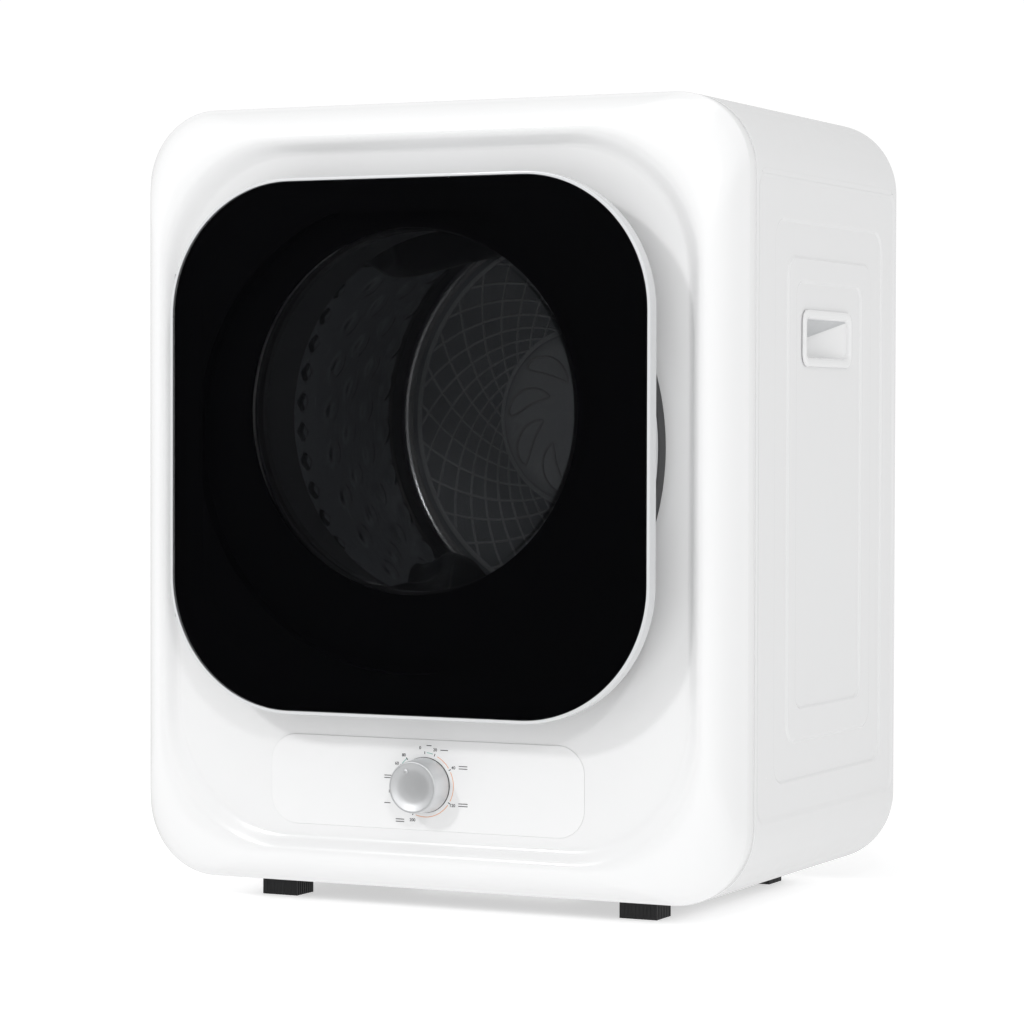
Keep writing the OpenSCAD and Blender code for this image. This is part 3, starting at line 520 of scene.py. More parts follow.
def build_cabinet_skin():
    field_depth, press_depth = 0.0008, 0.0012

    def press_loop(key, grow, depth, angles):
        y0, y1, z0, z1, r = PRESSES[key]
        w, h = y1 - y0 + 2 * grow, z1 - z0 + 2 * grow
        cy, cz = (y0 + y1) / 2, (z0 + z1) / 2
        return [(SIDE_X - depth, cy + a, cz + b) for a, b in
                (rounded_hit(t, w, h, max(r + grow, 0.001), GRIP_Y - cy, GRIP_Z - cz) for t in angles)]

    angles = set()
    for key in PRESSES:
        y0, y1, z0, z1, r = PRESSES[key]
        for dy, dz in rounded_rect(y1 - y0, z1 - z0, r, 10, 5):
            angles.add(round(math.atan2((z0 + z1) / 2 + dz - GRIP_Z, (y0 + y1) / 2 + dy - GRIP_Y), 5))
    for dy, dz in rounded_rect(GRIP_W, GRIP_H, 0.008, 8, 6):
        angles.add(round(math.atan2(dz, dy), 5))
    for y in (FRONT_Y + 0.001, BACK_Y - 0.001):
        for z in (FLAT_LOW, FLAT_HIGH):
            angles.add(round(math.atan2(z - GRIP_Z, y - GRIP_Y), 5))
    angles = sorted(angles)

    cy, cz = (FRONT_Y + BACK_Y) / 2, (FLAT_LOW + FLAT_HIGH) / 2
    w, h = BACK_Y - FRONT_Y - 0.002, FLAT_HIGH - FLAT_LOW
    border = [(SIDE_X, cy + a, cz + b) for a, b in
              (rounded_hit(t, w, h, 1e-6, GRIP_Y - cy, GRIP_Z - cz) for t in angles)]
    loops = [border]
    for key, above, below in (("field", 0.0, field_depth), ("outer", field_depth, field_depth + press_depth),
                              ("middle", field_depth + press_depth, field_depth),
                              ("inner", field_depth, field_depth + press_depth)):
        half = 0.0014 if key != "field" else 0.0030
        for t in (-1, -0.7, -0.4, -0.13, 0.13, 0.4, 0.7, 1):
            depth = above + (below - above) * smoothstep((t + 1) / 2)
            loops.append(press_loop(key, -t * half, depth, angles))
    level = field_depth + press_depth
    for grow, r, depth in ((0.0015, 0.0095, 0), (-0.0035, 0.0055, 0), (-0.004, 0.005, 0.0005),
                           (-0.004, 0.005, 0.003)):
        loops.append([(SIDE_X - level - depth, GRIP_Y + a, GRIP_Z + b) for a, b in
                      (rounded_hit(t, GRIP_W + 2 * grow, GRIP_H + 2 * grow, r) for t in angles)])
    bm = bmesh.new()
    for side in (1, -1):
        add_loft(bm, [[(side * x, y, z) for x, y, z in loop] for loop in loops])

    def strip(ys, up):
        """The two long corners and the flat between them, along the top or the bottom."""
        z0 = FLAT_HIGH if up else FLAT_LOW
        sign = 1 if up else -1
        path = [(SIDE_X - CORNER_R + CORNER_R * math.cos(t), z0 + sign * CORNER_R * math.sin(t))
                for t in (math.pi / 2 * k / 20 for k in range(21))]
        flat = [(path[-1][0] * (1 - 2 * k / 12), path[-1][1]) for k in range(1, 12)]
        mirror = [(-x, z) for x, z in reversed(path)]
        add_loft(bm, [[(x, y, z) for y in ys] for x, z in path + flat + mirror], close=False)

    eps = 1e-5
    strip(sorted({round(p[1], 6) for p in border if p[2] > FLAT_HIGH - eps}), True)
    strip(sorted({round(p[1], 6) for p in border if p[2] < FLAT_LOW + eps}), False)
    bmesh.ops.remove_doubles(bm, verts=bm.verts, dist=2e-5)

    def roll_edge(y_edge, steps):
        """Turns the open edge at one end inward, as a rolled hem."""
        edges = [e for e in bm.edges if e.is_boundary and all(abs(v.co.y - y_edge) < 1e-4 for v in e.verts)]
        for inset, y in steps:
            made = bmesh.ops.extrude_edge_only(bm, edges=edges)["geom"]
            verts = [g for g in made if isinstance(g, bmesh.types.BMVert)]
            edges = [g for g in made if isinstance(g, bmesh.types.BMEdge)
                     and all(v in set(verts) for v in g.verts)]
            for v in verts:
                x, z = v.co.x, v.co.z - BODY_Z
                qx, qz = abs(x) - (BODY_W / 2 - CORNER_R), abs(z) - (BODY_H / 2 - CORNER_R)
                nx, nz = max(qx, 0), max(qz, 0)
                if nx == 0 and nz == 0:
                    nx, nz = (1, 0) if qx > qz else (0, 1)
                length = math.hypot(nx, nz)
                v.co.x -= math.copysign(nx / length * inset, x)
                v.co.z -= math.copysign(nz / length * inset, z)
                v.co.y = y

    front, back = FRONT_Y + 0.001, BACK_Y - 0.001
    hem = ((0.0003, -0.0006), (0.0004, -0.0003), (0.0008, -0.0001), (0.008, 0.0))
    roll_edge(front, [(i, FRONT_Y - y) for i, y in hem])
    roll_edge(back, [(i, BACK_Y + y) for i, y in hem])
    obj = finish_mesh("cabinet_skin", bm, M_SHELL, "root", ("cabinet_shell",), math.radians(40))
    thicken(obj, 0.0009)
    return even_normals(obj)


build_cabinet_skin()


# ---------------------------------------------------------------------------
# Handle pockets
# ---------------------------------------------------------------------------


def build_handle(side, node):
    """Moulded insert: a rounded rim round a scoop that is deepest toward its lower front."""
    low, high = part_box(node)
    face = max(abs(low.x), abs(high.x))
    depth, rim_width, rim_depth = 0.0195, 0.0068, 0.0030
    angles = ray_angles(GRIP_W, GRIP_H, 0.009, 12, 16)

    def loop(grow, r, x):
        return [(side * x, GRIP_Y + a, GRIP_Z + b) for a, b in
                (rounded_hit(t, GRIP_W + 2 * grow, GRIP_H + 2 * grow, r) for t in angles)]

    # Each loop of the rim: growth outward from the grip's outline, corner radius, depth below the face
    rim = [loop(grow, r, face - below) for grow, r, below in (
        (-0.0008, 0.0085, 0.0026), (-0.0001, 0.0090, 0.0021), (0, 0.0090, 0.0012),
        (-0.0004, 0.0086, 0.0005), (-0.0014, 0.0076, 0.0001), (-0.0024, 0.0070, 0),
        (-0.0044, 0.0060, 0.0001), (-0.0056, 0.0052, 0.0006), (-0.0064, 0.0048, 0.0015),
        (-rim_width, 0.0046, rim_depth))]
    bm = bmesh.new()
    wide, tall = GRIP_W / 2 - rim_width, GRIP_H / 2 - rim_width

    def scoop(t):
        """One loop of the scoop's wall: roof and rear end slope in toward the lower front corner."""
        points = []
        for _, y, z in rim[-1]:
            u, v = (y - GRIP_Y) / wide, (z - GRIP_Z) / tall
            points.append((side * (face - rim_depth - (depth - rim_depth) * t),
                           GRIP_Y + wide * ((u + 1) * (1 - 0.60 * t) - 1),
                           GRIP_Z + tall * ((v + 1) * (1 - 0.50 * t) - 1)))
        return points

    loops = rim + [scoop(k / 6) for k in range(1, 7)]
    add_loft(bm, loops, cap_last=True)
    # Downward-facing faces of the scoop's roof get the grey ring plastic: painted shade under the roof, not
    # a second plastic of the insert.
    materials, roof_painted_shade_slot = [M_HANDLE, M_RING], 1
    obj = finish_mesh(node + "_insert", bm, materials, "root", (node,), math.radians(32))
    for polygon in obj.data.polygons:
        if abs(polygon.center.x) < face - rim_depth - 0.0001 and polygon.normal.z < -0.25:
            polygon.material_index = roof_painted_shade_slot
    thicken(obj, 0.0010)


build_handle(1, "handle_right")
build_handle(-1, "handle_left")


# ---------------------------------------------------------------------------
# Control overlay, knob and printed dial
# ---------------------------------------------------------------------------


def build_overlay():
    low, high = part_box("control_overlay")
    w, h = high.x - low.x, high.z - low.z
    profile = [(0.0006, high.y), (0, high.y - 0.0002), (0, low.y + 0.0002), (0.0002, low.y), (0.0012, low.y)]
    frame_sweep("control_overlay_sheet", w, h, 0.021, profile, OVERLAY.z, M_OVERLAY, "root",
                ("control_overlay",), closed=False, cap_last=True)


build_overlay()


def build_knob():
    low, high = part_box("timer_knob")
    r = (high.x - low.x) / 2
    base, top = high.y, low.y
    profile = filleted([(0.004, base), (r - 0.0002, base), (r - 0.0002, base - 0.0012),
                        (r - 0.0014, top + 0.0006), (r - 0.0022, top), (r - 0.0031, top + 0.0001),
                        (0.0135, top + 0.0022), (0.008, top + 0.0030), (0.0, top + 0.0033)],
                       [0, 0.0006, 0.0005, 0.0008, 0.0006, 0.0012, 0.004, 0.004, 0])
    profile[-1] = (0.00005, profile[-1][1])
    turned("timer_knob_cap", profile, KNOB.x, KNOB.z, M_KNOB, "knob", ("timer_knob",), 160, closed=False)
    turn = math.radians(118)
    reach = 0.0128
    spot = (KNOB.x + reach * math.cos(turn), top + 0.0016, KNOB.z + reach * math.sin(turn))
    bm = bmesh.new()
    bmesh.ops.create_uvsphere(bm, u_segments=32, v_segments=16, radius=0.0019,
                              matrix=Matrix.Translation(spot) @ Matrix.Diagonal((1, 0.45, 1, 1)))
    finish_mesh("timer_knob_mark", bm, M_KNOB, "knob")
    skirt = [(r - 0.004, base + 0.0010), (r + 0.0001, base + 0.0010), (r + 0.0001, base + 0.0002),
             (r - 0.004, base + 0.0002)]
    turned("timer_knob_skirt", skirt, KNOB.x, KNOB.z, M_BLACK_PLASTIC, "knob", (), 120)


build_knob()


def print_material(name, color):
    s = Shader(name, color, 0.45)
    s.color(s.noise(400, 2), tuple(c * 0.9 for c in color), color)
    return s.mat


M_INK = print_material("ink_dark", (0.05, 0.05, 0.055))
M_ORANGE = print_material("ink_orange", (0.85, 0.32, 0.10))
M_TEAL = print_material("ink_teal", (0.10, 0.45, 0.38))


def build_dial():
    """Printed scale: clock angles in degrees clockwise from the top, radii from the knob's axis."""
    y_back, y_front = OVERLAY_Y - 0.00002, OVERLAY_Y - 0.00010

    def arc(bm, r, a0, a1, width):
        n = max(2, int(abs(a1 - a0) / 3))
        loops = []
        for k in range(n + 1):
            t = math.radians(90 - (a0 + (a1 - a0) * k / n))
            c, s = math.cos(t), math.sin(t)
            loops.append([(KNOB.x + (r + dr) * c, y, KNOB.z + (r + dr) * s)
                          for dr, y in ((-width / 2, y_back), (width / 2, y_back), (width / 2, y_front),
                                        (-width / 2, y_front))])
        add_loft(bm, loops, cap_first=True, cap_last=True)

    def bar(bm, angle, r0, r1, width):
        t = math.radians(90 - angle)
        c, s = math.cos(t), math.sin(t)
        loops = [[(KNOB.x + r * c - o * s, y, KNOB.z + r * s + o * c) for o, y in
                  ((-width / 2, y_back), (width / 2, y_back), (width / 2, y_front), (-width / 2, y_front))]
                 for r in (r0, r1)]
        add_loft(bm, loops, cap_first=True, cap_last=True)

    orange = bmesh.new()
    for a0, a1 in ((26, 56), (64, 118), (126, 198)):
        arc(orange, 0.0236, a0, a1, 0.0004)
    finish_mesh("dial_warm_arcs", orange, M_ORANGE, "root")
    teal = bmesh.new()
    for a0, a1 in ((4, 16), (309, 321)):
        arc(teal, 0.0240, a0, a1, 0.0004)
    finish_mesh("dial_cool_arcs", teal, M_TEAL, "root")
    ticks = bmesh.new()
    for a in (0, 20, 60, 122, 204, 258, 282, 305, 322):
        bar(ticks, a, 0.0228, 0.0248, 0.0006)
    # Short dashes stand where a worded label would be, one dash for each line of it
    for x, z, lines, long in ((0.0160, 0.0262, 1, 0.0062), (0.0315, 0.0140, 2, 0.0070),
                              (0.0315, -0.0135, 2, 0.0075), (-0.0205, -0.0270, 2, 0.0070),
                              (-0.0310, -0.0145, 1, 0.0050), (-0.0305, 0.0050, 2, 0.0060),
                              (0.0035, 0.0292, 1, 0.0040)):
        for k in range(lines):
            zk = KNOB.z + z + (0.0009 - 0.0018 * k if lines > 1 else 0)
            add_box(ticks, (KNOB.x + x - long / 2, y_front, zk - 0.00028),
                    (KNOB.x + x + long / 2, y_back, zk + 0.00028))
    finish_mesh("dial_ticks", ticks, M_INK, "root")
    for text, a, r in (("0", 352, 0.0275), ("20", 18, 0.0275), ("40", 60, 0.0272), ("120", 122, 0.0268),
                       ("200", 201, 0.0282), ("120", 258, 0.0285), ("60", 303, 0.0275), ("80", 321, 0.0275)):
        t = math.radians(90 - a)
        curve = bpy.data.curves.new("dial_number_" + text, "FONT")
        curve.body = text
        curve.size = 0.0032
        curve.align_x = "CENTER"
        curve.align_y = "CENTER"
        curve.extrude = 0.00004
        curve.offset = 0.00004
        label = bpy.data.objects.new("dial_number_%s_%d" % (text, a), curve)
        label.location = (KNOB.x + r * math.cos(t), OVERLAY_Y - 0.00006, KNOB.z + r * math.sin(t))
        label.rotation_euler = (math.pi / 2, 0, 0)
        label.data.materials.append(M_INK)
        bpy.context.scene.collection.objects.link(label)
        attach(label, "root")


build_dial()


# ---------------------------------------------------------------------------
# Door
# ---------------------------------------------------------------------------


def build_cover():
    """Smoked sheet with a black printed border behind it."""
    low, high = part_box("door_cover")
    profile = filleted([(0.004, high.y), (0.0, high.y), (0.0, low.y), (0.006, low.y)],
                       [0, 0.0004, 0.0012, 0], 6)
    bm = bmesh.new()
    loops = [[(px, y, DOOR_Z + pz)
              for px, pz in rounded_rect(DOOR_W - 2 * d, DOOR_H - 2 * d, DOOR_R - d, 40, 12)]
             for d, y in profile]
    add_loft(bm, loops, cap_first=True, cap_last=True)
    finish_mesh("door_smoked_cover", bm, M_COVER, "door", ("door_cover",))
    back = high.y
    frame_sweep("door_cover_print", DOOR_W - 0.0002, DOOR_H - 0.0002, DOOR_R, [
        (0.0, back + 0.00005), (0.0, back + 0.0002), (0.024, back + 0.0002), (0.024, back + 0.00005)],
        DOOR_Z, M_BLACK, "door")


def build_rim():
    w, h = RIM_HIGH.x - RIM_LOW.x, RIM_HIGH.z - RIM_LOW.z
    front, back = RIM_LOW.y, RIM_HIGH.y
    profile = filleted([(0.009, back), (0.0, back), (0.0, front), (0.00235, front),
                        (0.00235, front + 0.0045), (0.009, front + 0.0045), (0.009, back)],
                       [0, 0.0009, 0.0011, 0.0005, 0.0, 0.0, 0], 6)
    frame_sweep("door_rim_frame", w, h, DOOR_R + 0.0025, profile[:-1], DOOR_Z, M_RIM, "door", ("door_rim",))


def build_ring():
    """Round ring behind the door, cut where the window's bowl passes through it."""
    low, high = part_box("door_ring")
    r = (high.x - low.x) / 2
    profile = filleted([(0.147, high.y), (r, high.y), (r, low.y), (r - 0.003, low.y),
                        (r - 0.003, high.y - 0.0025), (0.147, high.y - 0.0025)],
                       [0, 0.0012, 0.0006, 0.0006, 0.001, 0], 5)
    ring = turned("door_round_ring", profile, 0, DOOR_Z, M_RING, "door", ("door_ring",), 240)
    cut(ring, rods=[((0, low.y, WINDOW.z), (0, high.y + 0.001, WINDOW.z), WINDOW_R + 0.010)])


def build_gasket():
    low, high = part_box("door_gasket")
    r = (high.x - low.x) / 2
    y0, y1 = low.y, high.y
    profile = filleted([(r - 0.014, y1), (r, y1), (r, y0 + 0.002), (r - 0.001, y0), (r - 0.006, y0),
                        (r - 0.008, y0 + 0.004), (r - 0.014, y0 + 0.004)],
                       [0, 0.001, 0.002, 0.002, 0.002, 0.002, 0.001], 5)
    turned("door_gasket_ring", profile, 0, DOOR_Z, M_GASKET, "root", ("door_gasket",), 240)


def build_window():
    """Clear bowl that keeps the load off the door."""
    low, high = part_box("door_window")
    profile = filleted([(0.0001, high.y), (0.106, high.y - 0.001), (0.122, high.y - 0.003),
                        (WINDOW_R - 0.004, high.y - 0.010), (WINDOW_R - 0.002, low.y + 0.0027),
                        (WINDOW_R + 0.0045, low.y + 0.0027), (WINDOW_R + 0.0045, low.y),
                        (WINDOW_R - 0.005, low.y), (WINDOW_R - 0.007, high.y - 0.012),
                        (0.121, high.y - 0.006), (0.106, high.y - 0.004), (0.0001, high.y - 0.003)],
                       [0, 0.01, 0.01, 0.006, 0.001, 0.001, 0.001, 0.002, 0.006, 0.01, 0.01, 0], 5)
    turned("door_window_bowl", profile, WINDOW.x, WINDOW.z, M_BOWL, "door", ("door_window",), 240)


def build_trim():
    low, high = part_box("window_ring")
    r = (high.x - low.x) / 2
    profile = filleted([(r - 0.0028, low.y), (r, low.y), (r, high.y), (r - 0.0028, high.y)],
                       [0, 0.001, 0.001, 0], 5)
    turned("window_trim_ring", profile, WINDOW.x, WINDOW.z, M_TRIM, "door", ("window_ring",), 240)


for build in (build_cover, build_rim, build_ring, build_gasket, build_window, build_trim):
    build()


# ---------------------------------------------------------------------------
# Inside the drum
# ---------------------------------------------------------------------------

DRUM_LOW, DRUM_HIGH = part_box("drum_wall")
DRUM_R = (DRUM_HIGH.x - DRUM_LOW.x) / 2
DRUM_FRONT = DRUM_LOW.y
DRUM_BACK = DRUM_HIGH.y
DRUM_SHEET = 0.0006


def emboss(angle, y):
    """Height of the pressed pattern at one place on the drum wall: kites at the front, then oval leaves."""
    pitch = TAU / 44
    span = DRUM_BACK - DRUM_FRONT
    along = (y - DRUM_FRONT) / span
    if along < 0.30:
        row = (along - 0.03) / 0.09
        k = math.floor(row)
        if not 0 <= k < 3:
            return 0.0
        u = (angle / pitch + 0.5 * (k % 2)) % 1.0 - 0.5
        v = row - k - 0.5
        inside = 1 - (abs(u) * 2.5 + abs(v) * 2.3)
        return 0.0030 * smoothstep(inside * 2.0)
    if 0.40 < along < 0.90:
        row = (along - 0.40) / 0.125
        k = math.floor(row)
        u = ((angle / (pitch * 1.5) + 0.5 * (k % 2)) % 1.0 - 0.5) * 1.2
        v = row - k - 0.5
        inside = 1 - math.hypot(u * 2.4 + v * 0.9, v * 2.3)
        return 0.0024 * smoothstep(inside * 1.6)
    return 0.0


def build_drum_wall():
    around, along = 704, 120
    inner = DRUM_R - DRUM_SHEET
    bm = bmesh.new()
    loops = []
    ends = [(DRUM_R - 0.006, DRUM_BACK), (DRUM_R - 0.0025, DRUM_BACK - 0.0012),
            (DRUM_R - 0.0008, DRUM_BACK - 0.0035)]
    starts = [(DRUM_R - 0.0008, DRUM_FRONT + 0.0035), (DRUM_R - 0.0025, DRUM_FRONT + 0.0012),
              (DRUM_R - 0.006, DRUM_FRONT)]
    for r, y in reversed(starts):
        loops.append([(r * math.cos(t), y, DRUM_Z + r * math.sin(t)) for t in
                      (TAU * k / around for k in range(around))])
    for j in range(along + 1):
        y = DRUM_FRONT + 0.006 + (DRUM_BACK - DRUM_FRONT - 0.012) * j / along
        row = []
        for k in range(around):
            t = TAU * k / around
            r = inner - emboss(t, y)
            row.append((r * math.cos(t), y, DRUM_Z + r * math.sin(t)))
        loops.append(row)
    for r, y in reversed(ends):
        loops.append([(r * math.cos(t), y, DRUM_Z + r * math.sin(t)) for t in
                      (TAU * k / around for k in range(around))])
    add_loft(bm, loops)
    finish_mesh("drum_embossed_wall", bm, M_DRUM, "drum", ("drum_wall",))


build_drum_wall()


def build_lifter(bm, middle):
    """One moulded lifter: a fin with a wide foot, swaying sideways in an S, with a rounded crest."""
    rings, y0, y1 = 48, -0.098, 0.104
    base = DRUM_R - DRUM_SHEET - 0.0004
    half = [(8.0, 0.0), (7.6, 1.2), (6.7, 2.2), (5.6, 5.0), (4.6, 11.0), (3.7, 18.5), (3.0, 24.5),
            (2.4, 27.5), (1.4, 29.3), (0.0, 30.0)]
    section = [(-a, h) for a, h in half[:-1]] + [(a, h) for a, h in reversed(half)]
    loops = []
    for j in range(rings + 1):
        u = j / rings
        sway = 7 * math.sin(TAU * u)
        ends = min(1.0, 0.25 + 6 * min(u, 1 - u))
        shrink = (0.55 + 0.45 * math.sin(math.pi * (0.08 + 0.84 * u))) * math.sqrt(ends)
        loops.append([((base - 0.001 * h * shrink) * math.cos(math.radians(middle + sway + a)),
                       y0 + (y1 - y0) * u,
                       DRUM_Z + (base - 0.001 * h * shrink) * math.sin(math.radians(middle + sway + a)))
                      for a, h in section])
    add_loft(bm, loops, cap_first=True, cap_last=True)


bm = bmesh.new()
for k in range(3):
    build_lifter(bm, 120 * k)
finish_mesh("drum_lifter_fins", bm, M_LIFTER, "drum", ("drum_lifters",), math.radians(50))


def add_ridge(bm, path, width, height, y_face):
    """A raised rounded ridge along a path of (x, z) points on a plane facing the front."""
    loops = []
    for k, p in enumerate(path):
        a, b = path[max(k - 1, 0)], path[min(k + 1, len(path) - 1)]
        dx, dz = b[0] - a[0], b[1] - a[1]
        length = math.hypot(dx, dz) or 1.0
        nx, nz = -dz / length, dx / length
        loops.append([(p[0] + nx * o * width / 2, y_face - h * height, p[1] + nz * o * width / 2)
                      for o, h in ((-1, 0), (-0.75, 0.6), (-0.35, 1), (0.35, 1), (0.75, 0.6), (1, 0))])
    add_loft(bm, loops, cap_first=True, cap_last=True)


def build_rear_lattice():
    """Moulded air grille on the drum's rear wall: two crossing families of curved ribs between rings."""
    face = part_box("drum_back_wall")[0].y
    bm = bmesh.new()
    r0, r1, count = 0.074, 0.148, 30
    for sense, twist in ((1, 62), (-1, 40)):
        for k in range(count):
            path = []
            for j in range(17):
                u = j / 16
                r = r0 + (r1 - r0) * u
                t = TAU * k / count + sense * math.radians(twist) * math.log(r / r0) / math.log(r1 / r0)
                path.append((r * math.cos(t), DRUM_Z + r * math.sin(t)))
            add_ridge(bm, path, 0.0026, 0.0020, face)
    finish_mesh("drum_rear_lattice", bm, M_GREY, "drum")
    screen = [(0.070, face), (0.070, face - 0.0005), (0.151, face - 0.0005), (0.151, face)]
    turned("drum_rear_screen", screen, 0, DRUM_Z, M_REAR, "drum", (), 160)
    inner = DRUM_R - DRUM_SHEET
    band = filleted([(inner, face - 0.026), (inner - 0.0022, face - 0.0245),
                     (inner - 0.0022, face - 0.0065), (inner, face - 0.0050)], [0, 0.0012, 0.0012, 0], 4)
    turned("drum_rear_band", band, 0, DRUM_Z, M_LIFTER, "drum", (), 200)
    for name, r, wide, high in (("drum_rear_ring_inner", 0.0725, 0.005, 0.0026),
                                ("drum_rear_ring_outer", 0.150, 0.0040, 0.0022),
                                ("drum_rear_rim", 0.1580, 0.0028, 0.0040)):
        ring = filleted([(r - wide / 2, face), (r - wide / 2, face - high),
                         (r + wide / 2, face - high), (r + wide / 2, face)], [0, wide / 3, wide / 3, 0], 4)
        turned(name, ring, 0, DRUM_Z, M_RING if name == "drum_rear_rim" else M_GREY, "drum", (), 200)


build_rear_lattice()


def build_filter():
    """Twist-off lint filter: a shallow dome with raised lips in the spoon-shaped outlines of its windows,
    which are not cut.
    """
    low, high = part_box("lint_filter")
    r = (high.x - low.x) / 2
    front = [(0.0, low.y + 0.0005), (0.010, low.y + 0.0001), (0.030, low.y + 0.0003),
             (0.046, low.y + 0.0025), (0.062, low.y + 0.0060), (0.068, low.y + 0.0105), (r, high.y - 0.0016)]

    def dome_y(reach):
        for (r0, y0), (r1, y1) in zip(front, front[1:]):
            if reach <= r1:
                return y0 + (y1 - y0) * (reach - r0) / (r1 - r0)
        return front[-1][1]

    profile = [(0.0001, front[0][1])] + front[1:] + [(r, high.y),
               (0.066, high.y), (0.058, high.y - 0.0055), (0.030, high.y - 0.012), (0.0001, high.y - 0.012)]
    radii = [0, 0.004, 0.008, 0.008, 0.004, 0.003, 0.0005, 0.0005, 0.002, 0.004, 0.004, 0]
    dome = filleted(profile, radii, 4)
    turned("lint_filter_dome", dome, 0, DRUM_Z, M_GREY, "filter", ("lint_filter",), 180)
    bm = bmesh.new()
    for k in range(9):
        turn = TAU * k / 9
        path = []
        for j in range(41):
            t = TAU * j / 40
            along = 0.046 + 0.0165 * math.cos(t)
            across = (0.0085 + 0.0045 * math.cos(t)) * math.sin(t)
            lean = turn + 0.9 * (along - 0.046) / 0.0165 * 0.28
            x = along * math.cos(lean) - across * math.sin(lean)
            z = along * math.sin(lean) + across * math.cos(lean)
            path.append((x, DRUM_Z + z))
        loops = []
        for i, p in enumerate(path):
            a, b = path[i - 1 if i else -2], path[(i + 1) % 41 if i < 40 else 1]
            dx, dz = b[0] - a[0], b[1] - a[1]
            length = math.hypot(dx, dz)
            nx, nz = -dz / length, dx / length
            dist = math.hypot(p[0], p[1] - DRUM_Z)
            base = dome_y(dist)
            loops.append([(p[0] + nx * o, max(base - h, low.y), p[1] + nz * o)
                          for o, h in ((-0.0012, -0.001), (-0.0008, 0.0008), (0, 0.0013), (0.0008, 0.0008),
                                       (0.0012, -0.001))])
        add_loft(bm, loops[:-1], wrap=True)
    finish_mesh("lint_filter_petals", bm, M_RING, "filter")


build_filter()


# ---------------------------------------------------------------------------
# Materials of the CAD pieces that show as they are
# ---------------------------------------------------------------------------

PAINT = {
    "tray_black": M_TRAY, "zinc_sheet": M_ZINC, "mouth_grey": M_MOUTH_PAINTED_SHADE, "felt": M_FELT, "nylon": M_NYLON,
    "gasket_rubber": M_GASKET, "steel": M_STEEL, "motor_steel": M_DARK_STEEL, "belt_rubber": M_BELT,
    "heater_aluminium": M_FINS, "black_plastic": M_BLACK_PLASTIC, "handle_white": M_HANDLE,
    "foot_rubber": M_FOOT, "capacitor_white": M_NYLON, "smoked_cover": M_COVER, "rim_silver": M_RIM,
    "frame_black": M_BLACK, "ring_grey": M_RING, "window_clear": M_BOWL, "knob_silver": M_KNOB,
    "drum_steel": M_DRUM, "grille_grey": M_GREY, "lifter_dark": M_LIFTER, "filter_grey": M_GREY,
    "blower_plastic": M_NYLON, "cabinet_white": M_SHELL, "front_white": M_FRONT, "overlay_white": M_OVERLAY,
}
OWN = {"drum_back_wall": M_REAR}
for node, obj in frame["nodes"].items():
    obj.data.materials.clear()
    obj.data.materials.append(OWN.get(node, PAINT[SLOT_OF[node]]))


# ---------------------------------------------------------------------------
# Studio and camera
# ---------------------------------------------------------------------------


def plane(name, size, location, rotation, material):
    """A flat square of the stage."""
    bm = bmesh.new()
    bmesh.ops.create_grid(bm, x_segments=1, y_segments=1, size=size / 2)
    mesh = bpy.data.meshes.new(name)
    bm.to_mesh(mesh)
    bm.free()
    obj = bpy.data.objects.new(name, mesh)
    obj.location = location
    obj.rotation_euler = rotation
    obj.data.materials.append(material)
    bpy.context.scene.collection.objects.link(obj)
    return obj


def glow(name, color, strength, diffuse=0.0):
    """A stage surface with a glow of its own."""
    s = Shader(name, (diffuse,) * 3, 0.6)
    s.bsdf.inputs["Emission Color"].default_value = (*color, 1)
    s.bsdf.inputs["Emission Strength"].default_value = strength
    return s.mat


def area(name, size, location, target, energy):
    """A square lamp that faces a target."""
    light = bpy.data.lights.new(name, "AREA")
    light.shape = "SQUARE"
    light.size = size
    light.energy = energy
    obj = bpy.data.objects.new(name, light)
    obj.location = location
    obj.rotation_euler = (Vector(target) - Vector(location)).to_track_quat("-Z", "Y").to_euler()
    bpy.context.scene.collection.objects.link(obj)
    return obj


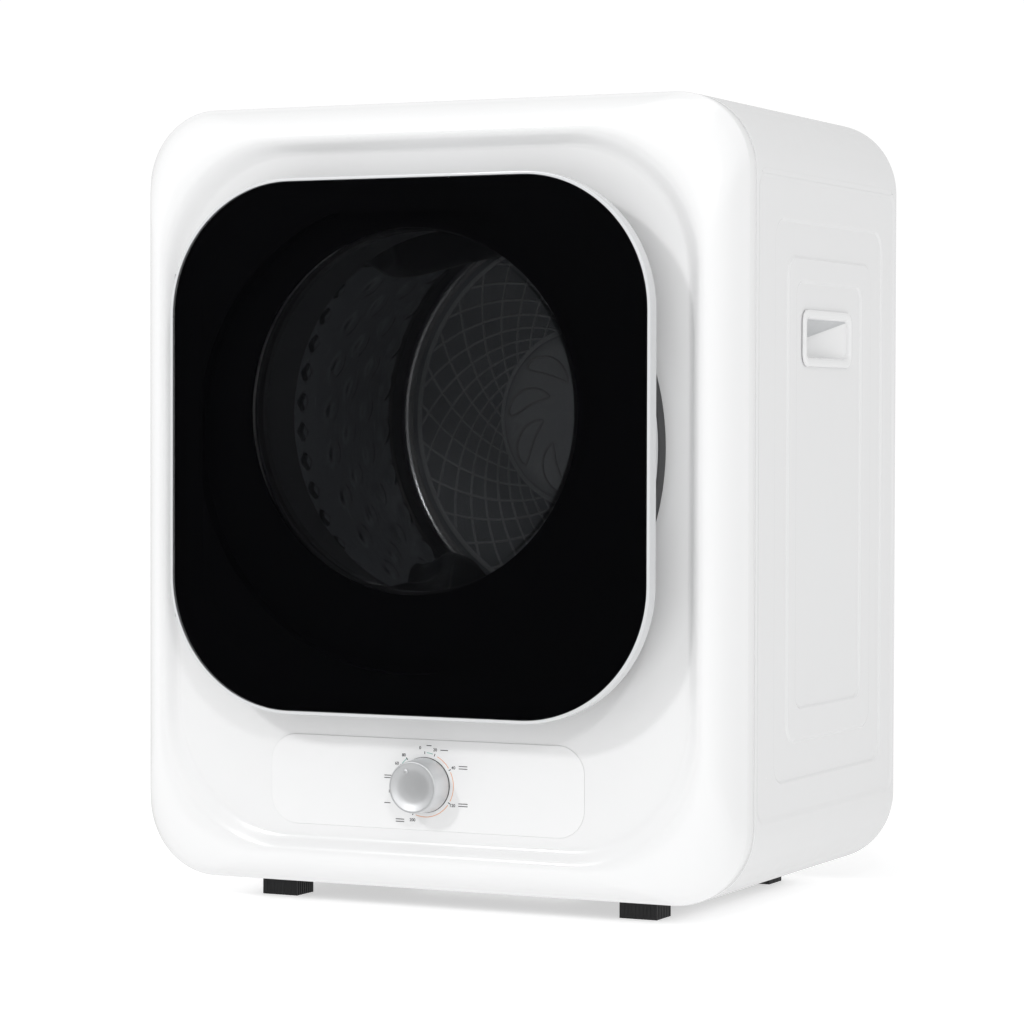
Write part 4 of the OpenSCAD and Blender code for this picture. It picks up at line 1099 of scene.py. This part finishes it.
def build_studio():
    """Pale world, glowing floor, white backdrop, four soft lamps and a dark card for the door's gloss."""
    scene = bpy.context.scene
    scene.view_settings.view_transform = "Standard"
    world = bpy.data.worlds.new("studio")
    scene.world = world
    world.use_nodes = True
    world.node_tree.nodes["Background"].inputs["Color"].default_value = (1, 1, 1, 1)
    world.node_tree.nodes["Background"].inputs["Strength"].default_value = 0.70
    floor = plane("floor", 60, (0, 0, 0), (0, 0, 0), glow("floor_pale", (1, 1, 1), 0.56, 0.6))
    floor.visible_glossy = False
    bm = bmesh.new()
    bmesh.ops.create_uvsphere(bm, u_segments=32, v_segments=16, radius=28)
    mesh = bpy.data.meshes.new("backdrop")
    bm.to_mesh(mesh)
    bm.free()
    dome = bpy.data.objects.new("backdrop", mesh)
    dome.data.materials.append(glow("backdrop_white", (1, 1, 1), 1.0))
    bpy.context.scene.collection.objects.link(dome)
    for ray in ("diffuse", "glossy", "transmission", "volume_scatter", "shadow"):
        setattr(dome, "visible_" + ray, False)
    flag = plane("flag", 2.6, (-1.55, -2.9, 0.25), (math.radians(90), 0, math.radians(-28)),
                 glow("flag_black", (0, 0, 0), 0.0, 0.01))
    for ray in ("camera", "diffuse", "shadow"):
        setattr(flag, "visible_" + ray, False)
    middle = (0, 0, 0.3)
    area("key_left", 0.28, (-1.25, -2.75, 1.9), middle, 21)
    area("key_right", 0.28, (1.55, -2.75, 1.75), middle, 12)
    area("fill_right", 1.8, (3.0, -1.3, 1.4), middle, 1.5)
    area("top", 1.6, (0.1, -0.7, 2.5), middle, 8)


def build_camera():
    """A long lens from the front right, a little above the middle and almost level."""
    lens, place = 123.24, (1.1718, -2.4622, 0.3625)
    azimuth, pitch, roll = math.radians(25.63), math.radians(1.45), math.radians(-0.14)
    forward = Vector((-math.sin(azimuth) * math.cos(pitch), math.cos(azimuth) * math.cos(pitch),
                      -math.sin(pitch)))
    right = Vector((math.cos(azimuth), math.sin(azimuth), 0))
    up = right.cross(forward)
    x_axis = right * math.cos(roll) - up * math.sin(roll)
    y_axis = right * math.sin(roll) + up * math.cos(roll)
    camera = bpy.data.objects.new("camera", bpy.data.cameras.new("camera"))
    camera.data.lens = lens
    camera.data.sensor_width = 36
    camera.data.clip_end = 100
    turn = Matrix((x_axis, y_axis, -forward)).transposed().to_4x4()
    camera.matrix_world = Matrix.Translation(place) @ turn
    bpy.context.scene.collection.objects.link(camera)
    bpy.context.scene.camera = camera


build_studio()
build_camera()
